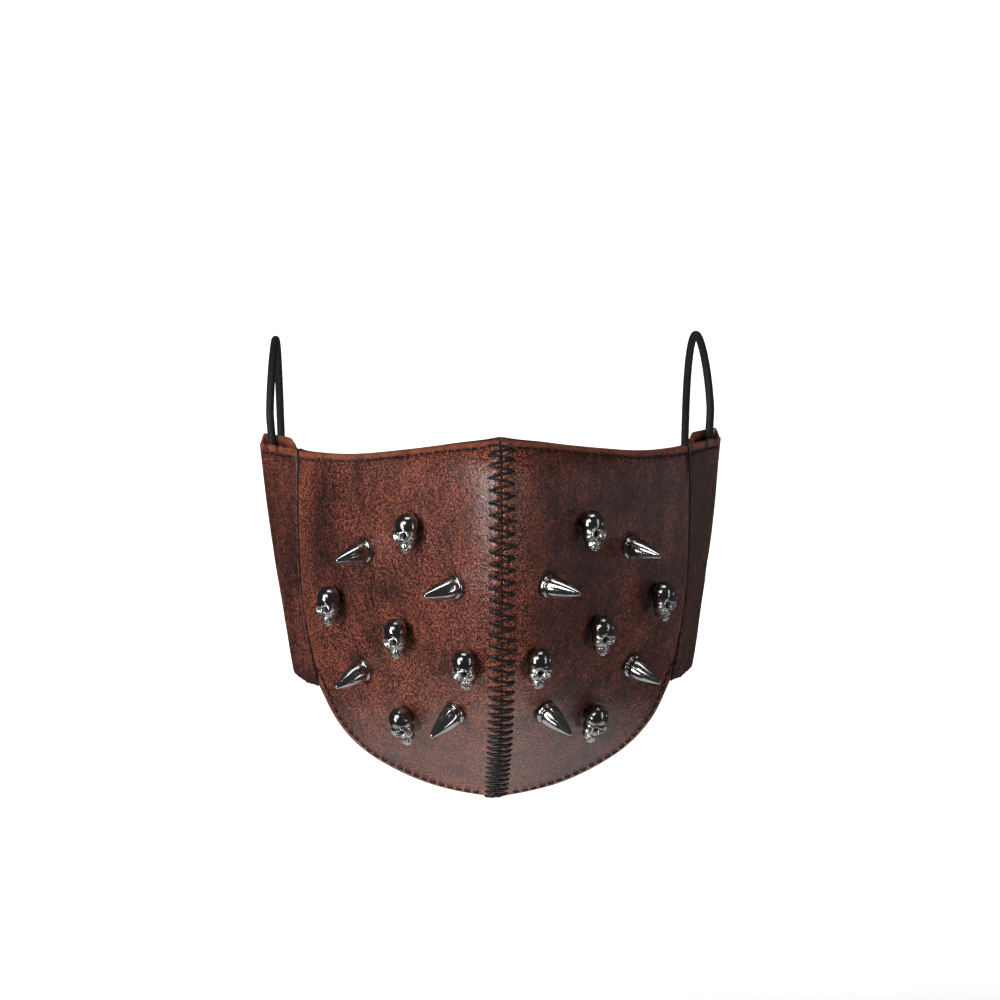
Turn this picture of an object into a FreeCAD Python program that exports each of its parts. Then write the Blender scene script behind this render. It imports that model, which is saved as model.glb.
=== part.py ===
"""A leather half-face mask with spikes and skull studs, its side casings and elastic ear loops.

Millimetres. +Z is up, -Y is the way the wearer looks, +X is the wearer's left. The origin is at the height
of the nose, in the mask's middle plane, level with the rear folds of the two side casings. Pieces are built
for the wearer's left half and mirrored for the right half.
"""
import FreeCAD, Part
import math
import os
import Sketcher

from FreeCAD import Vector

os.makedirs("parts", exist_ok=True)
doc = FreeCAD.newDocument("studded_half_mask")

# ---------------------------------------------------------------- driving dimensions
SIZES = {
    "nose_reach": 95.0,          # the nose ridge stands this far ahead of the origin
    "ridge_round": 9.0,          # how softly the two cheeks meet on the ridge
    "side_flare": 4.0,           # extra turn of the cheek towards its side seam
    "leather_thick": 1.3,
    "glue_gap": 0.1,
    "foam_thick": 1.45,
    "lining_thick": 0.6,
    "hem_width": 8.0,            # turned edge along the top and bottom rims
    "butt_gap": 0.3,             # between the two halves, under the zigzag thread
    "rim_stitch_inset": 3.2,
    "rim_stitch_pitch": 3.05,
    "rim_stitch_length": 2.1,
    "rim_thread_thick": 0.55,
    "zigzag_pitch": 4.1,
    "zigzag_half_width": 3.3,
    "zigzag_thread_thick": 0.95,
    "casing_leather": 1.2,
    "casing_thick": 7.6,         # over the rear fold
    "casing_edge": 1.4,          # both layers skived together at the side seam
    "casing_seam_gap": 1.0,
    "casing_back_rise": 3.6,     # the wearer's side layer stands above the outer one
    "mouth_ramp_front": 0.9,     # how deep behind the outer face the top edge starts to rise
    "mouth_ramp_back": 3.4,
    "cord_thick": 2.8,
    "cord_inset_top": 2.4,       # the elastic enters this far ahead of the fold's centre
    "cord_sunk_top": 3.0,        # and this far below the casing's outer face
    "cord_inset_low": 0.0,       # it is pulled right into the fold at the lower end
    "cord_sunk_low": 3.1,
    "sleeve_below_mouth": 29.0,
    "sleeve_length": 8.0,
    "sleeve_thick": 3.5,
    "spike_length": 13.3,
    "collar_thick": 7.8,
    "collar_height": 1.0,
    "groove_thick": 6.4,
    "groove_height": 0.5,
    "cone_thick": 7.3,
    "cone_shoulder": 1.4,
    "tip_thick": 1.3,
    "stud_bore": 3.0,
    "bore_depth": 4.6,
    "skull_width": 8.6,
    "skull_height": 13.0,
    "skull_depth": 8.4,
    "stud_lift": 0.06,
    "screw_head": 6.0,
    "screw_head_height": 0.8,
    "screw_shank": 2.9,
    "screw_hole": 3.4,
    "screw_pocket": 7.0,
    "slot_width": 1.0,
}
sheet = doc.addObject("Spreadsheet::Sheet", "Sizes")
for row, (name, value) in enumerate(SIZES.items(), start=1):
    sheet.set(f"A{row}", name)
    sheet.set(f"B{row}", str(value))
    sheet.setAlias(f"B{row}", name)
doc.recompute()


size_of = {name: float(sheet.get(name)) for name in SIZES}

# The wearer's left half seen from the front, as (x, z), and the ridge from the side, as (z, depth).
TOP_RIM = [(0, 20.5), (16, 19.3), (33, 17.9), (48, 17.0), (60, 17.8), (66.3, 18.6)]
BOTTOM_RIM = [(0, -101.8), (14.4, -99.2), (24.8, -96), (36.2, -90.7), (44.7, -85.2), (53.3, -76),
              (60, -62.5)]
SIDE_SEAM = [(66.3, 18.6), (66.5, 0), (66.1, -22), (64.8, -37.5), (62.7, -48.5), (60, -62.5)]
RIDGE = [(20.5, 7), (12, 1.2), (0, 0), (-21, 3.8), (-44, 12.1), (-65, 24.7), (-80.5, 43.6), (-91.7, 65.5),
         (-101.8, 86)]
CHEEK_SLOPE = [(20.5, 0.98), (0, 1.1), (-37, 1.13), (-62, 1.08), (-76, 0.98), (-86, 0.84), (-96, 0.62),
               (-101.8, 0.5)]
FLARE_POWER = 8

# Where each stud's screw goes through the leather, as (x, z) seen from the front.
SPIKES = {"nose": (15.0, -28.6), "cheek": (44.0, -16.4), "jaw": (44.8, -56.8), "chin": (15.2, -70.0)}
SKULLS = {"cheekbone": (27.8, -9.5), "side": (53.4, -33.5), "cheek": (31.5, -43.9), "lip": (9.8, -53.6),
          "chin": (29.9, -72.7)}

# The centre of the casing's rear fold, from top to bottom, and the seam heights of the same sections.
FOLD_CENTRE = [(76.7, -5.4, 28.0), (75.6, -5.2, 20.5), (73.4, -4.6, 0.8), (70.9, -4.0, -18.5),
               (68.0, -3.5, -37.0), (64.8, -3.0, -55.5), (63.3, -2.8, -63.5)]
SEAM_HEIGHTS = [26.0, 18.6, 0.0, -20.0, -40.0, -62.5, -70.5]


# ---------------------------------------------------------------- the cheek surface
def smooth(points, at):
    """A smooth curve through points that are (position, value), read at one position."""
    points = sorted(points)
    slopes = []
    for i in range(len(points)):
        before, after = points[max(i - 1, 0)], points[min(i + 1, len(points) - 1)]
        slopes.append((after[1] - before[1]) / (after[0] - before[0]))
    i = max(k for k in range(len(points) - 1) if points[k][0] <= at or k == 0)
    (p, a), (q, b) = points[i], points[i + 1]
    span = q - p
    t = (at - p) / span
    if t < 0:
        return a + slopes[i] * (at - p)
    if t > 1:
        return b + slopes[i + 1] * (at - q)
    return ((1 + 2 * t) * (1 - t) ** 2 * a + t * (1 - t) ** 2 * span * slopes[i]
            + t * t * (3 - 2 * t) * b + t * t * (t - 1) * span * slopes[i + 1])


def along(points, share):
    """The point at a share of the way along a smooth curve through points in the front view."""
    run = [0.0]
    for a, b in zip(points, points[1:]):
        run.append(run[-1] + math.hypot(b[0] - a[0], b[1] - a[1]))
    at = share * run[-1]
    return tuple(smooth([(r, p[k]) for r, p in zip(run, points)], at) for k in (0, 1))


def depth(x, z):
    """How far the outer surface lies behind the nose's foremost point."""
    rounding = size_of["ridge_round"]
    cheek = smooth(CHEEK_SLOPE, z) * (math.hypot(x, rounding) - rounding)
    flare = size_of["side_flare"] * (x / SIDE_SEAM[0][0]) ** FLARE_POWER
    return smooth(RIDGE, z) + cheek + flare


def outline(u, v):
    """The front view's (x, z) at u from the ridge to the side seam and v from the top to the bottom rim."""
    top, bottom, seam = along(TOP_RIM, u), along(BOTTOM_RIM, u), along(SIDE_SEAM, v)
    ridge = (0.0, TOP_RIM[0][1] + v * (BOTTOM_RIM[0][1] - TOP_RIM[0][1]))
    corners = (TOP_RIM[0], TOP_RIM[-1], BOTTOM_RIM[0], BOTTOM_RIM[-1])
    return tuple(
        (1 - v) * top[k] + v * bottom[k] + (1 - u) * ridge[k] + u * seam[k]
        - (1 - u) * (1 - v) * corners[0][k] - u * (1 - v) * corners[1][k]
        - (1 - u) * v * corners[2][k] - u * v * corners[3][k]
        for k in (0, 1))


def outward(x, z):
    """The surface's unit normal, away from the face."""
    step = 0.05
    across = (depth(x + step, z) - depth(x - step, z)) / (2 * step)
    upward = (depth(x, z + step) - depth(x, z - step)) / (2 * step)
    return Vector(across, -1, upward).normalize()


def on_surface(x, z, inward=0.0):
    """The point of the mask at (x, z) in the front view, a distance inside the outer surface."""
    return Vector(x, depth(x, z) - size_of["nose_reach"], z) - outward(x, z) * inward


def spread(low, high, steps):
    return [low + (high - low) * i / steps for i in range(steps + 1)]


def surface_through(us, vs, inward):
    """A spline surface a distance, which may vary with v, inside the outer one."""
    half_gap = size_of["butt_gap"] / 2
    grid = []
    for u in us:
        line = []
        for v in vs:
            x, z = outline(u, v)
            line.append(on_surface(x + half_gap * (1 - u), z, inward(v)))
        grid.append(line)
    surface = Part.BSplineSurface()
    surface.interpolate(grid)
    return surface


def patch(us, vs, outer, inner):
    """A closed solid between two such surfaces."""
    faces, rims = [], []
    for inward in (outer, inner):
        s = surface_through(us, vs, inward)
        u0, u1, v0, v1 = s.bounds()
        faces.append(s.toShape())
        rims.append([c.toShape() for c in (s.uIso(u0), s.uIso(u1), s.vIso(v0), s.vIso(v1))])
    faces += [Part.makeRuledSurface(a, b) for a, b in zip(*rims)]
    shell = Part.makeShell(faces)
    shell.sewShape()
    solid = Part.makeSolid(shell)
    if solid.Volume < 0:
        solid.reverse()
    return solid


def frame_at(x, z):
    """A placement on the outer surface: its Z is the surface's normal, its Y runs up the mask."""
    normal = outward(x, z)
    up = (Vector(0, 0, 1) - normal * normal.z).normalize()
    side = up.cross(normal)
    return FreeCAD.Placement(on_surface(x, z), FreeCAD.Rotation(side, up, normal, "ZYX"))


def dip(x, z, radius, inward):
    """How far the surface falls away from a flat disc laid on it, at the lowest place on the disc's edge."""
    place = frame_at(x, z)
    falls = []
    for turn in range(12):
        angle = turn * math.pi / 6
        rim = place.multVec(Vector(radius * math.cos(angle), radius * math.sin(angle), 0))
        falls.append(-inward - place.inverse().multVec(on_surface(rim.x, rim.z, inward)).z)
    return max(falls)


# ---------------------------------------------------------------- making objects
pieces = []      # every object that is written to a file


def keep(piece, label):
    piece.Label = label
    pieces.append(piece)
    return piece


def shaped(label, shape):
    """A piece whose shape is worked out from the sheet's sizes."""
    piece = doc.addObject("Part::Feature", label)
    piece.Shape = shape
    piece.Placement = FreeCAD.Placement()
    return keep(piece, label)


def bound(kind, label, place=None, **sizes):
    """A Part primitive with its sizes bound to the sheet by expressions."""
    item = doc.addObject(kind, label)
    if place is not None:
        item.Placement = place
    for name, value in sizes.items():
        if isinstance(value, str):
            item.setExpression(name, value)
        else:
            setattr(item, name, value)
    return item


def mirrored(piece, label):
    """The same piece on the wearer's right."""
    twin = doc.addObject("Part::Mirroring", label)
    twin.Source = piece
    twin.Base = Vector(0, 0, 0)
    twin.Normal = Vector(1, 0, 0)
    return keep(twin, label)


def value_of(text):
    """The value of an expression in the sheet's sizes."""
    return float(sheet.evalExpression(text))


def turned(label, profile, place):
    """A PartDesign body turned about its Z axis from (radius, height) corners given as expressions."""
    body = doc.addObject("PartDesign::Body", label)
    sketch = body.newObject("Sketcher::SketchObject", label + "_profile")
    plane = next(f for f in body.Origin.OriginFeatures if f.Role == "XZ_Plane")
    sketch.AttachmentSupport = [(plane, "")]
    sketch.MapMode = "FlatFace"
    corners = [Vector(value_of(r), value_of(h), 0) for r, h in profile]
    count = len(corners)
    for i in range(count):
        sketch.addGeometry(Part.LineSegment(corners[i], corners[(i + 1) % count]), False)
    for i in range(count):
        sketch.addConstraint(Sketcher.Constraint("Coincident", i, 2, (i + 1) % count, 1))
    for i, corner in enumerate(profile):
        for kind, axis, text in (("DistanceX", -2, corner[0]), ("DistanceY", -1, corner[1])):
            if text == "0":
                sketch.addConstraint(Sketcher.Constraint("PointOnObject", i, 1, axis))
                continue
            number = sketch.addConstraint(Sketcher.Constraint(kind, -1, 1, i, 1, value_of(text)))
            sketch.setExpression(f"Constraints[{number}]", text)
    solid = body.newObject("PartDesign::Revolution", label + "_turned")
    solid.Profile = sketch
    solid.ReferenceAxis = (sketch, ["V_Axis"])
    solid.Angle = 360.0
    body.Tip = solid
    body.Placement = place
    return body


# ---------------------------------------------------------------- leather, foam and lining
def hem_share(v):
    """1 on the turned edges along the top and bottom rims, 0 between them."""
    length = BOTTOM_RIM[0][1] - TOP_RIM[0][1]
    inside = min(v, 1 - v) * abs(length)
    fade = min(max((inside - size_of["hem_width"]) / 2.5, 0), 1)
    return 1 - fade * fade * (3 - 2 * fade)


def drilled(solid, spots, radius):
    """The solid with a hole along the screw of each spot."""
    drills = []
    for x, z in spots:
        drill = Part.makeCylinder(radius, 16, Vector(0, 0, -8))
        drill.Placement = frame_at(x, z)
        drills.append(drill)
    return solid.cut(drills)


STUDS = list(SPIKES.values()) + list(SKULLS.values())
RIM_ROWS = [0, 0.02, 0.04, 0.06, 0.07, 0.08, 0.095, 0.115]
PANEL_ROWS = RIM_ROWS + spread(0.14, 0.86, 18) + [1 - row for row in reversed(RIM_ROWS)]
glue = size_of["glue_gap"]
under_leather = size_of["leather_thick"] + glue
under_foam = under_leather + size_of["foam_thick"] + glue
hem_extra = size_of["foam_thick"] - 2 * glue

panel = patch(spread(0, 1, 24), PANEL_ROWS, lambda v: 0.0,
              lambda v: size_of["leather_thick"] + hem_extra * hem_share(v))
panel = drilled(panel, STUDS, size_of["screw_hole"] / 2)
front_panel_left = shaped("front_panel_left", panel)
foam = patch(spread(0.05, 0.93, 20), spread(0.12, 0.88, 22), lambda v: under_leather,
             lambda v: under_leather + size_of["foam_thick"])
foam = drilled(foam, STUDS, size_of["screw_pocket"] / 2)
foam_layer_left = shaped("foam_layer_left", foam)
lining = patch(spread(0, 0.93, 20), spread(0.02, 0.98, 28), lambda v: under_foam,
               lambda v: under_foam + size_of["lining_thick"])
lining_left = shaped("lining_left", lining)


# ---------------------------------------------------------------- sewing thread
THREAD_CLEARANCE = 0.08     # between a stitch and the leather it lies on


def bead(start, end, thick):
    """One short straight stitch."""
    return Part.makeCylinder(thick / 2, (end - start).Length, start, end - start)


def rim_line(edge, inset):
    """Points a real distance inside the rim at v = edge, from the ridge to the side seam."""
    line = []
    for u in spread(0.075, 0.985, 60):
        rim = on_surface(*outline(u, edge))
        ahead = on_surface(*outline(min(u + 0.01, 1), edge))
        behind = on_surface(*outline(max(u - 0.01, 0), edge))
        run = (ahead - behind).normalize()
        low, high = 0.0, 0.2
        for _ in range(24):
            middle = (low + high) / 2
            away = on_surface(*outline(u, abs(edge - middle))) - rim
            if (away - run * away.dot(run)).Length < inset:
                low = middle
            else:
                high = middle
        line.append(outline(u, abs(edge - low)))
    return line


def evenly(line, pitch, length):
    """Pairs of (x, z), a stitch's two ends, spaced evenly along a line on the surface."""
    points = [on_surface(x, z) for x, z in line]
    run = [0.0]
    for a, b in zip(points, points[1:]):
        run.append(run[-1] + (b - a).Length)
    xs, zs = ([(r, p[k]) for r, p in zip(run, line)] for k in (0, 1))
    count = int((run[-1] - length) / pitch)
    first = (run[-1] - count * pitch - length) / 2

    def end_at(way):
        return smooth(xs, way), smooth(zs, way)

    starts = [first + i * pitch for i in range(count + 1)]
    return [(end_at(start), end_at(start + length)) for start in starts]


def row_of_stitches(line, inward):
    """Straight stitches along a line in the front view, a distance inside the outer surface."""
    thick = size_of["rim_thread_thick"]
    stitches = evenly(line, size_of["rim_stitch_pitch"], size_of["rim_stitch_length"])
    return Part.makeCompound([
        bead(on_surface(*start, inward), on_surface(*end, inward), thick) for start, end in stitches])


def rim_thread(edge):
    """The row of stitches along the rim at v = edge, lying on the leather."""
    thick = size_of["rim_thread_thick"]
    line = rim_line(edge, size_of["rim_stitch_inset"])
    return row_of_stitches(line, -thick / 2 - THREAD_CLEARANCE)


def seam_thread():
    """The row of stitches inside the side seam, which holds the casing to the front panel."""
    thick = size_of["rim_thread_thick"]
    line = [outline(0.975, v) for v in spread(0.13, 0.87, 40)]
    return row_of_stitches(line, size_of["leather_thick"] + thick / 2 + THREAD_CLEARANCE)


def zigzag():
    """The thread that laces the two halves edge to edge over the ridge, a solid for each crossing."""
    thick = size_of["zigzag_thread_thick"]
    half, lift = size_of["zigzag_half_width"], -thick / 2 - THREAD_CLEARANCE
    heights = spread(TOP_RIM[0][1], BOTTOM_RIM[0][1], 240)
    ridge = [on_surface(0, z) for z in heights]
    run = [0.0]
    for a, b in zip(ridge, ridge[1:]):
        run.append(run[-1] + (b - a).Length)
    height_at = list(zip(run, heights))
    step = size_of["zigzag_pitch"] / 2
    count = int((run[-1] - 3) / step)
    first = (run[-1] - count * step) / 2
    stitches = []
    for i in range(count):
        side = 1 if i % 2 else -1
        ends = []
        for place, across in ((0.12, side), (0.5, 0), (0.88, -side)):
            z = smooth(height_at, first + (i + place) * step)
            reach = half * abs(across)
            point = on_surface(reach, z, lift if across else lift - 0.12)
            point.x *= across if across else 1
            ends.append(point)
        path = Part.Wire(Part.Arc(*ends).toShape())
        start = (ends[1] - ends[0]).normalize()
        circle = Part.Wire(Part.Circle(ends[0], start, thick / 2).toShape())
        stitches.append(path.makePipeShell([circle], True, False))
    return Part.makeCompound(stitches)


centre_seam_thread = shaped("centre_seam_thread", zigzag())
top_edge_thread_left = shaped("top_edge_thread_left", rim_thread(0))
bottom_edge_thread_left = shaped("bottom_edge_thread_left", rim_thread(1))
side_seam_thread_left = shaped("side_seam_thread_left", seam_thread())


# ---------------------------------------------------------------- the side casing
def station(height, centre):
    """A section of the casing: its seam point, its width to the fold's centre, and its axes."""
    x = smooth([(z, x) for x, z in SIDE_SEAM], height)
    seam = on_surface(x, height)
    down = on_surface(smooth([(z, x) for x, z in SIDE_SEAM], height - 1), height - 1) - seam
    reach = Vector(*centre) - seam
    span, radius = reach.Length, size_of["casing_thick"] / 2
    across = reach / span
    out = across.cross(down).normalize()
    if out.x < 0:
        out = out * -1
    width = math.sqrt(span ** 2 - radius ** 2)
    lean_cos, lean_sin = width / span, radius / span
    along_width = across * lean_cos + out * lean_sin
    out = out * lean_cos - across * lean_sin
    return seam, width, along_width, out


def section(here, tunnel):
    """The closed wire of the casing's outside, or of the tunnel inside it."""
    seam, width, across, out = here
    thick, wall, gap = size_of["casing_thick"], size_of["casing_leather"], size_of["casing_seam_gap"]
    edge = size_of["casing_edge"]

    def at(w, n):
        return seam + across * w + out * n

    slope = (thick - edge) / (width - gap)
    inset = wall if tunnel else 0.0
    radius = thick / 2 - inset
    top, tip, bottom = at(width, -inset), at(width + radius, -thick / 2), at(width, inset - thick)
    if tunnel:
        narrow_end = 0.1
        layers_part = gap + (2 * wall - edge + narrow_end) / slope
        apex, apex_low = at(layers_part, -wall), at(layers_part, -wall - narrow_end)
    else:
        apex, apex_low = at(gap, 0), at(gap, -edge)
    sides = [Part.LineSegment(apex, top), Part.Arc(top, tip, bottom), Part.LineSegment(bottom, apex_low),
             Part.LineSegment(apex_low, apex)]
    return Part.Wire([side.toShape() for side in sides])


stations = [station(height, centre) for height, centre in zip(SEAM_HEIGHTS, FOLD_CENTRE)]
top_station, bottom_station = stations[1], stations[-2]


def block_at(here, low, high):
    """A box between two corners given across, up and out of a section of the casing."""
    seam, _, across, out = here
    box = Part.makeBox(high[0] - low[0], high[1] - low[1], high[2] - low[2], Vector(*low))
    box.Placement = FreeCAD.Placement(seam, FreeCAD.Rotation(across, out.cross(across), out, "ZXY"))
    return box


FAR = 90


def above_mouth(here):
    """What is cut off above the casing's top edge, which is low in front and rises over the rear fold."""
    seam, _, across, out = here
    up, rise = out.cross(across), size_of["casing_back_rise"]
    front, back = -size_of["mouth_ramp_front"], -size_of["mouth_ramp_back"]

    def at(n, height):
        return seam - across * FAR + out * n + up * height

    ramp = Part.BSplineCurve()
    ramp.interpolate([at(front, 0), at((front + back) / 2, rise / 2), at(back, rise)],
                     InitialTangent=out * -1, FinalTangent=out * -1)
    corners = [at(back, rise), at(-FAR, rise), at(-FAR, FAR), at(FAR, FAR), at(FAR, 0), at(front, 0)]
    edges = [ramp.toShape()] + [Part.LineSegment(a, b).toShape() for a, b in zip(corners, corners[1:])]
    return Part.Face(Part.Wire(edges)).extrude(across * FAR * 2)


casing = Part.makeLoft([section(s, False) for s in stations], True, False)
casing = casing.cut([
    Part.makeLoft([section(s, True) for s in stations], True, False),
    above_mouth(top_station),
    block_at(bottom_station, (-FAR, -FAR, -FAR), (FAR, 0, FAR)),
])
side_panel_left = shaped("side_panel_left", casing)


def casing_thread(here):
    """The row of stitches along the casing's top hem, on its outer face."""
    seam, width, across, out = here
    down = across.cross(out) * size_of["rim_stitch_inset"]
    thick, pitch, length = (size_of["rim_thread_thick"], size_of["rim_stitch_pitch"],
                            size_of["rim_stitch_length"])
    reach = 6.0

    def on_casing(w):
        above = seam + across * w + down + out * reach
        ray = Part.makeLine(above, above - out * 2 * reach)
        met = min(ray.section(casing).Vertexes, key=lambda v: (v.Point - above).Length).Point
        return met + out * (thick / 2 + THREAD_CLEARANCE)

    start = size_of["casing_seam_gap"] + 0.6
    count = int((width - start - length) / pitch) + 1
    starts = [start + i * pitch for i in range(count)]
    return Part.makeCompound([bead(on_casing(w), on_casing(w + length), thick) for w in starts])


casing_thread_left = shaped("casing_thread_left", casing_thread(top_station))


# ---------------------------------------------------------------- the elastic ear loop and its sleeve
# The left loop from the sleeve up out of the casing, over and behind the ear, then tight to the casing's
# lower edge, round it and back up the tunnel.
EAR_LOOP = [(71.414, -6.028, -8.2), (75.757, -7.987, 26.0), (75.4, -5.4, 37.8), (74.7, 1.0, 47.8),
            (74.0, 11.4, 54.8), (73.5, 24.0, 58.0), (73.1, 37.2, 56.2), (72.8, 48.9, 49.8),
            (72.5, 57.2, 39.2), (72.2, 61.4, 26.4), (71.8, 62.6, 12.8), (71.2, 61.0, 0.4),
            (70.2, 55.5, -14.0), (68.1, 29.2, -37.0), (64.877, 1.109, -59.411), (65.142, -3.2, -57.588),
            (71.363, -6.005, -8.6)]


def rounded_route(points):
    """Straight runs joined by tangent arcs, and the arcs' radii."""
    knots = [Vector(*p) for p in points]
    edges, radii, start = [], [], knots[0]
    for before, here, after in zip(knots, knots[1:], knots[2:]):
        run_in, run_out = here - before, after - here
        half_turn = run_in.getAngle(run_out) / 2
        cut = 0.45 * min(run_in.Length, run_out.Length)
        first = here - run_in.normalize() * cut
        last = here + run_out.normalize() * cut
        radius = cut / math.tan(half_turn)
        centre_way = ((first + last) * 0.5 - here).normalize()
        middle = here + centre_way * (radius / math.cos(half_turn) - radius)
        edges.append(Part.LineSegment(start, first).toShape())
        edges.append(Part.Arc(first, middle, last).toShape())
        radii.append(radius)
        start = last
    edges.append(Part.LineSegment(start, knots[-1]).toShape())
    return Part.Wire(edges), radii


def cord(points, thick):
    """A plain round tube along a route."""
    route, radii = rounded_route(points)
    way = Vector(*points[1]) - Vector(*points[0])
    circle = Part.Wire(Part.Circle(Vector(*points[0]), way, thick / 2).toShape())
    tube = route.makePipeShell([circle], True, False)
    expected = math.pi * thick ** 2 / 4 * route.Length
    print(f"ear loop: {route.Length:.1f} mm long, radii {[round(r, 1) for r in radii]}")
    print(f"its volume is {tube.Volume / expected:.4f} of its section times its length")
    return tube


def mouth(here, end):
    """Where the elastic passes through the casing's section at its top or lower end."""
    seam, width, across, out = here
    return seam + across * (width - size_of["cord_inset_" + end]) - out * size_of["cord_sunk_" + end]


ear_loop_left = shaped("ear_loop_left", cord(EAR_LOOP, size_of["cord_thick"]))
top_mouth, bottom_mouth = mouth(top_station, "top"), mouth(bottom_station, "low")
tunnel_way = (top_mouth - bottom_mouth).normalize()
sleeve_foot = top_mouth - tunnel_way * (size_of["sleeve_below_mouth"] + size_of["sleeve_length"] / 2)
sleeve_place = FreeCAD.Placement(sleeve_foot, FreeCAD.Rotation(Vector(0, 0, 1), tunnel_way))
barrel = bound("Part::Cylinder", "sleeve_barrel", Radius="Sizes.sleeve_thick / 2",
               Height="Sizes.sleeve_length")
bore = bound("Part::Cylinder", "sleeve_bore", Radius="Sizes.cord_thick / 2 + 0.02",
             Height="Sizes.sleeve_length")
sleeve = doc.addObject("Part::Cut", "ear_loop_sleeve_left")
sleeve.Base, sleeve.Tool = barrel, bore
sleeve.Placement = sleeve_place
ear_loop_sleeve_left = keep(sleeve, "ear_loop_sleeve_left")


# ---------------------------------------------------------------- studs and their screws
SPIKE_PROFILE = [
    ("Sizes.stud_bore / 2", "0"),
    ("Sizes.collar_thick / 2", "0"),
    ("Sizes.collar_thick / 2", "Sizes.collar_height"),
    ("Sizes.groove_thick / 2", "Sizes.collar_height"),
    ("Sizes.groove_thick / 2", "Sizes.collar_height + Sizes.groove_height"),
    ("Sizes.cone_thick / 2", "Sizes.collar_height + Sizes.groove_height + Sizes.cone_shoulder / 3"),
    ("Sizes.cone_thick / 2", "Sizes.collar_height + Sizes.groove_height + Sizes.cone_shoulder"),
    ("Sizes.tip_thick / 2", "Sizes.spike_length - Sizes.tip_thick / 3"),
    ("Sizes.tip_thick / 4", "Sizes.spike_length"),
    ("0", "Sizes.spike_length"),
    ("0", "Sizes.bore_depth"),
    ("Sizes.stud_bore / 2", "Sizes.bore_depth - Sizes.stud_bore / 4"),
]


def lifted(spot, height):
    """A stud's placement, a height above the leather."""
    return frame_at(*spot) * FreeCAD.Placement(Vector(0, 0, height), FreeCAD.Rotation())


def ball(label, centre, radii):
    """An ellipsoid in a skull's own axes: width, height and depth, given as expressions."""
    item = bound("Part::Ellipsoid", label, Radius2=radii[0], Radius3=radii[1], Radius1=radii[2],
                 Angle1=-90.0, Angle2=90.0)
    for axis, text in zip("xyz", centre):
        item.setExpression(f"Placement.Base.{axis}", text)
    return item


def joined(kind, label, shapes):
    item = doc.addObject(kind, label)
    item.Shapes = shapes
    return item


def skull(label, place):
    """A small cast skull: cranium, cheekbones and jaw, with sockets, nose, mouth and a blind screw bore."""
    wide, tall, deep = "Sizes.skull_width", "Sizes.skull_height", "Sizes.skull_depth"
    head = [
        ball(label + "_cranium", ("0", f"{tall} * 0.16", f"{deep} * 0.42"),
             (f"{wide} / 2", f"{tall} * 0.34", f"{deep} * 0.58")),
        ball(label + "_jaw", ("0", f"{tall} * -0.2", f"{deep} * 0.4"),
             (f"{wide} * 0.37", f"{tall} * 0.3", f"{deep} * 0.53")),
    ]
    for side, sign in (("left", "1"), ("right", "-1")):
        head.append(ball(f"{label}_cheekbone_{side}",
                         (f"{wide} * 0.3 * {sign}", f"{tall} * -0.08", f"{deep} * 0.62"),
                         (f"{wide} * 0.16", f"{tall} * 0.08", f"{deep} * 0.2")))
    whole = joined("Part::MultiFuse", label + "_head", head)
    front = bound("Part::Box", label + "_front", Length=f"{wide} * 2", Width=f"{tall} * 2",
                  Height=f"{deep} * 2")
    front.setExpression("Placement.Base.x", f"{wide} * -1")
    front.setExpression("Placement.Base.y", f"{tall} * -1")
    flat_backed = joined("Part::MultiCommon", label + "_flat_backed", [whole, front])
    hollows = [ball(label + "_nose", ("0", f"{tall} * -0.11", f"{deep} * 0.95"),
                    (f"{wide} * 0.08", f"{tall} * 0.07", f"{deep} * 0.14"))]
    for side, sign in (("left", "1"), ("right", "-1")):
        hollows.append(ball(f"{label}_socket_{side}",
                            (f"{wide} * 0.21 * {sign}", f"{tall} * 0.04", f"{deep} * 0.95"),
                            (f"{wide} * 0.15", f"{tall} * 0.095", f"{deep} * 0.22")))
    mouth_slot = bound("Part::Box", label + "_mouth", Length=f"{wide} * 0.5", Width=f"{tall} * 0.03",
                       Height=deep)
    mouth_slot.setExpression("Placement.Base.x", f"{wide} * -0.25")
    mouth_slot.setExpression("Placement.Base.y", f"{tall} * -0.33")
    mouth_slot.setExpression("Placement.Base.z", f"{deep} * 0.72")
    screw_bore = bound("Part::Cylinder", label + "_bore", Radius="Sizes.stud_bore / 2",
                       Height="Sizes.bore_depth")
    carved = doc.addObject("Part::Cut", label)
    carved.Base = flat_backed
    carved.Tool = joined("Part::MultiFuse", label + "_hollows", hollows + [mouth_slot, screw_bore])
    carved.Placement = place
    return keep(carved, label)


def screw(label, spot):
    """The slotted screw that holds one stud from inside the leather."""
    drop = size_of["glue_gap"] + dip(*spot, size_of["screw_head"] / 2, size_of["leather_thick"])
    short_of_bore = 1.0
    shank_length = size_of["leather_thick"] + drop + size_of["bore_depth"] - short_of_bore
    head = bound("Part::Cylinder", label + "_head", Radius="Sizes.screw_head / 2",
                 Height="Sizes.screw_head_height")
    shank = bound("Part::Cylinder", label + "_shank", Radius="Sizes.screw_shank / 2", Height=shank_length)
    shank.setExpression("Placement.Base.z", "Sizes.screw_head_height")
    slot = bound("Part::Box", label + "_slot", Length="Sizes.screw_head * 2", Width="Sizes.slot_width",
                 Height="Sizes.screw_head_height / 2")
    slot.setExpression("Placement.Base.x", "Sizes.screw_head * -1")
    slot.setExpression("Placement.Base.y", "Sizes.slot_width / -2")
    item = doc.addObject("Part::Cut", label)
    item.Base, item.Tool = joined("Part::MultiFuse", label + "_blank", [head, shank]), slot
    item.Placement = lifted(spot, -size_of["leather_thick"] - drop - size_of["screw_head_height"])
    return item


def screw_set(label, spots):
    group = doc.addObject("Part::Compound", label)
    group.Links = [screw(f"{label}_{name}", spot) for name, spot in spots.items()]
    return keep(group, label)


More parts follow.
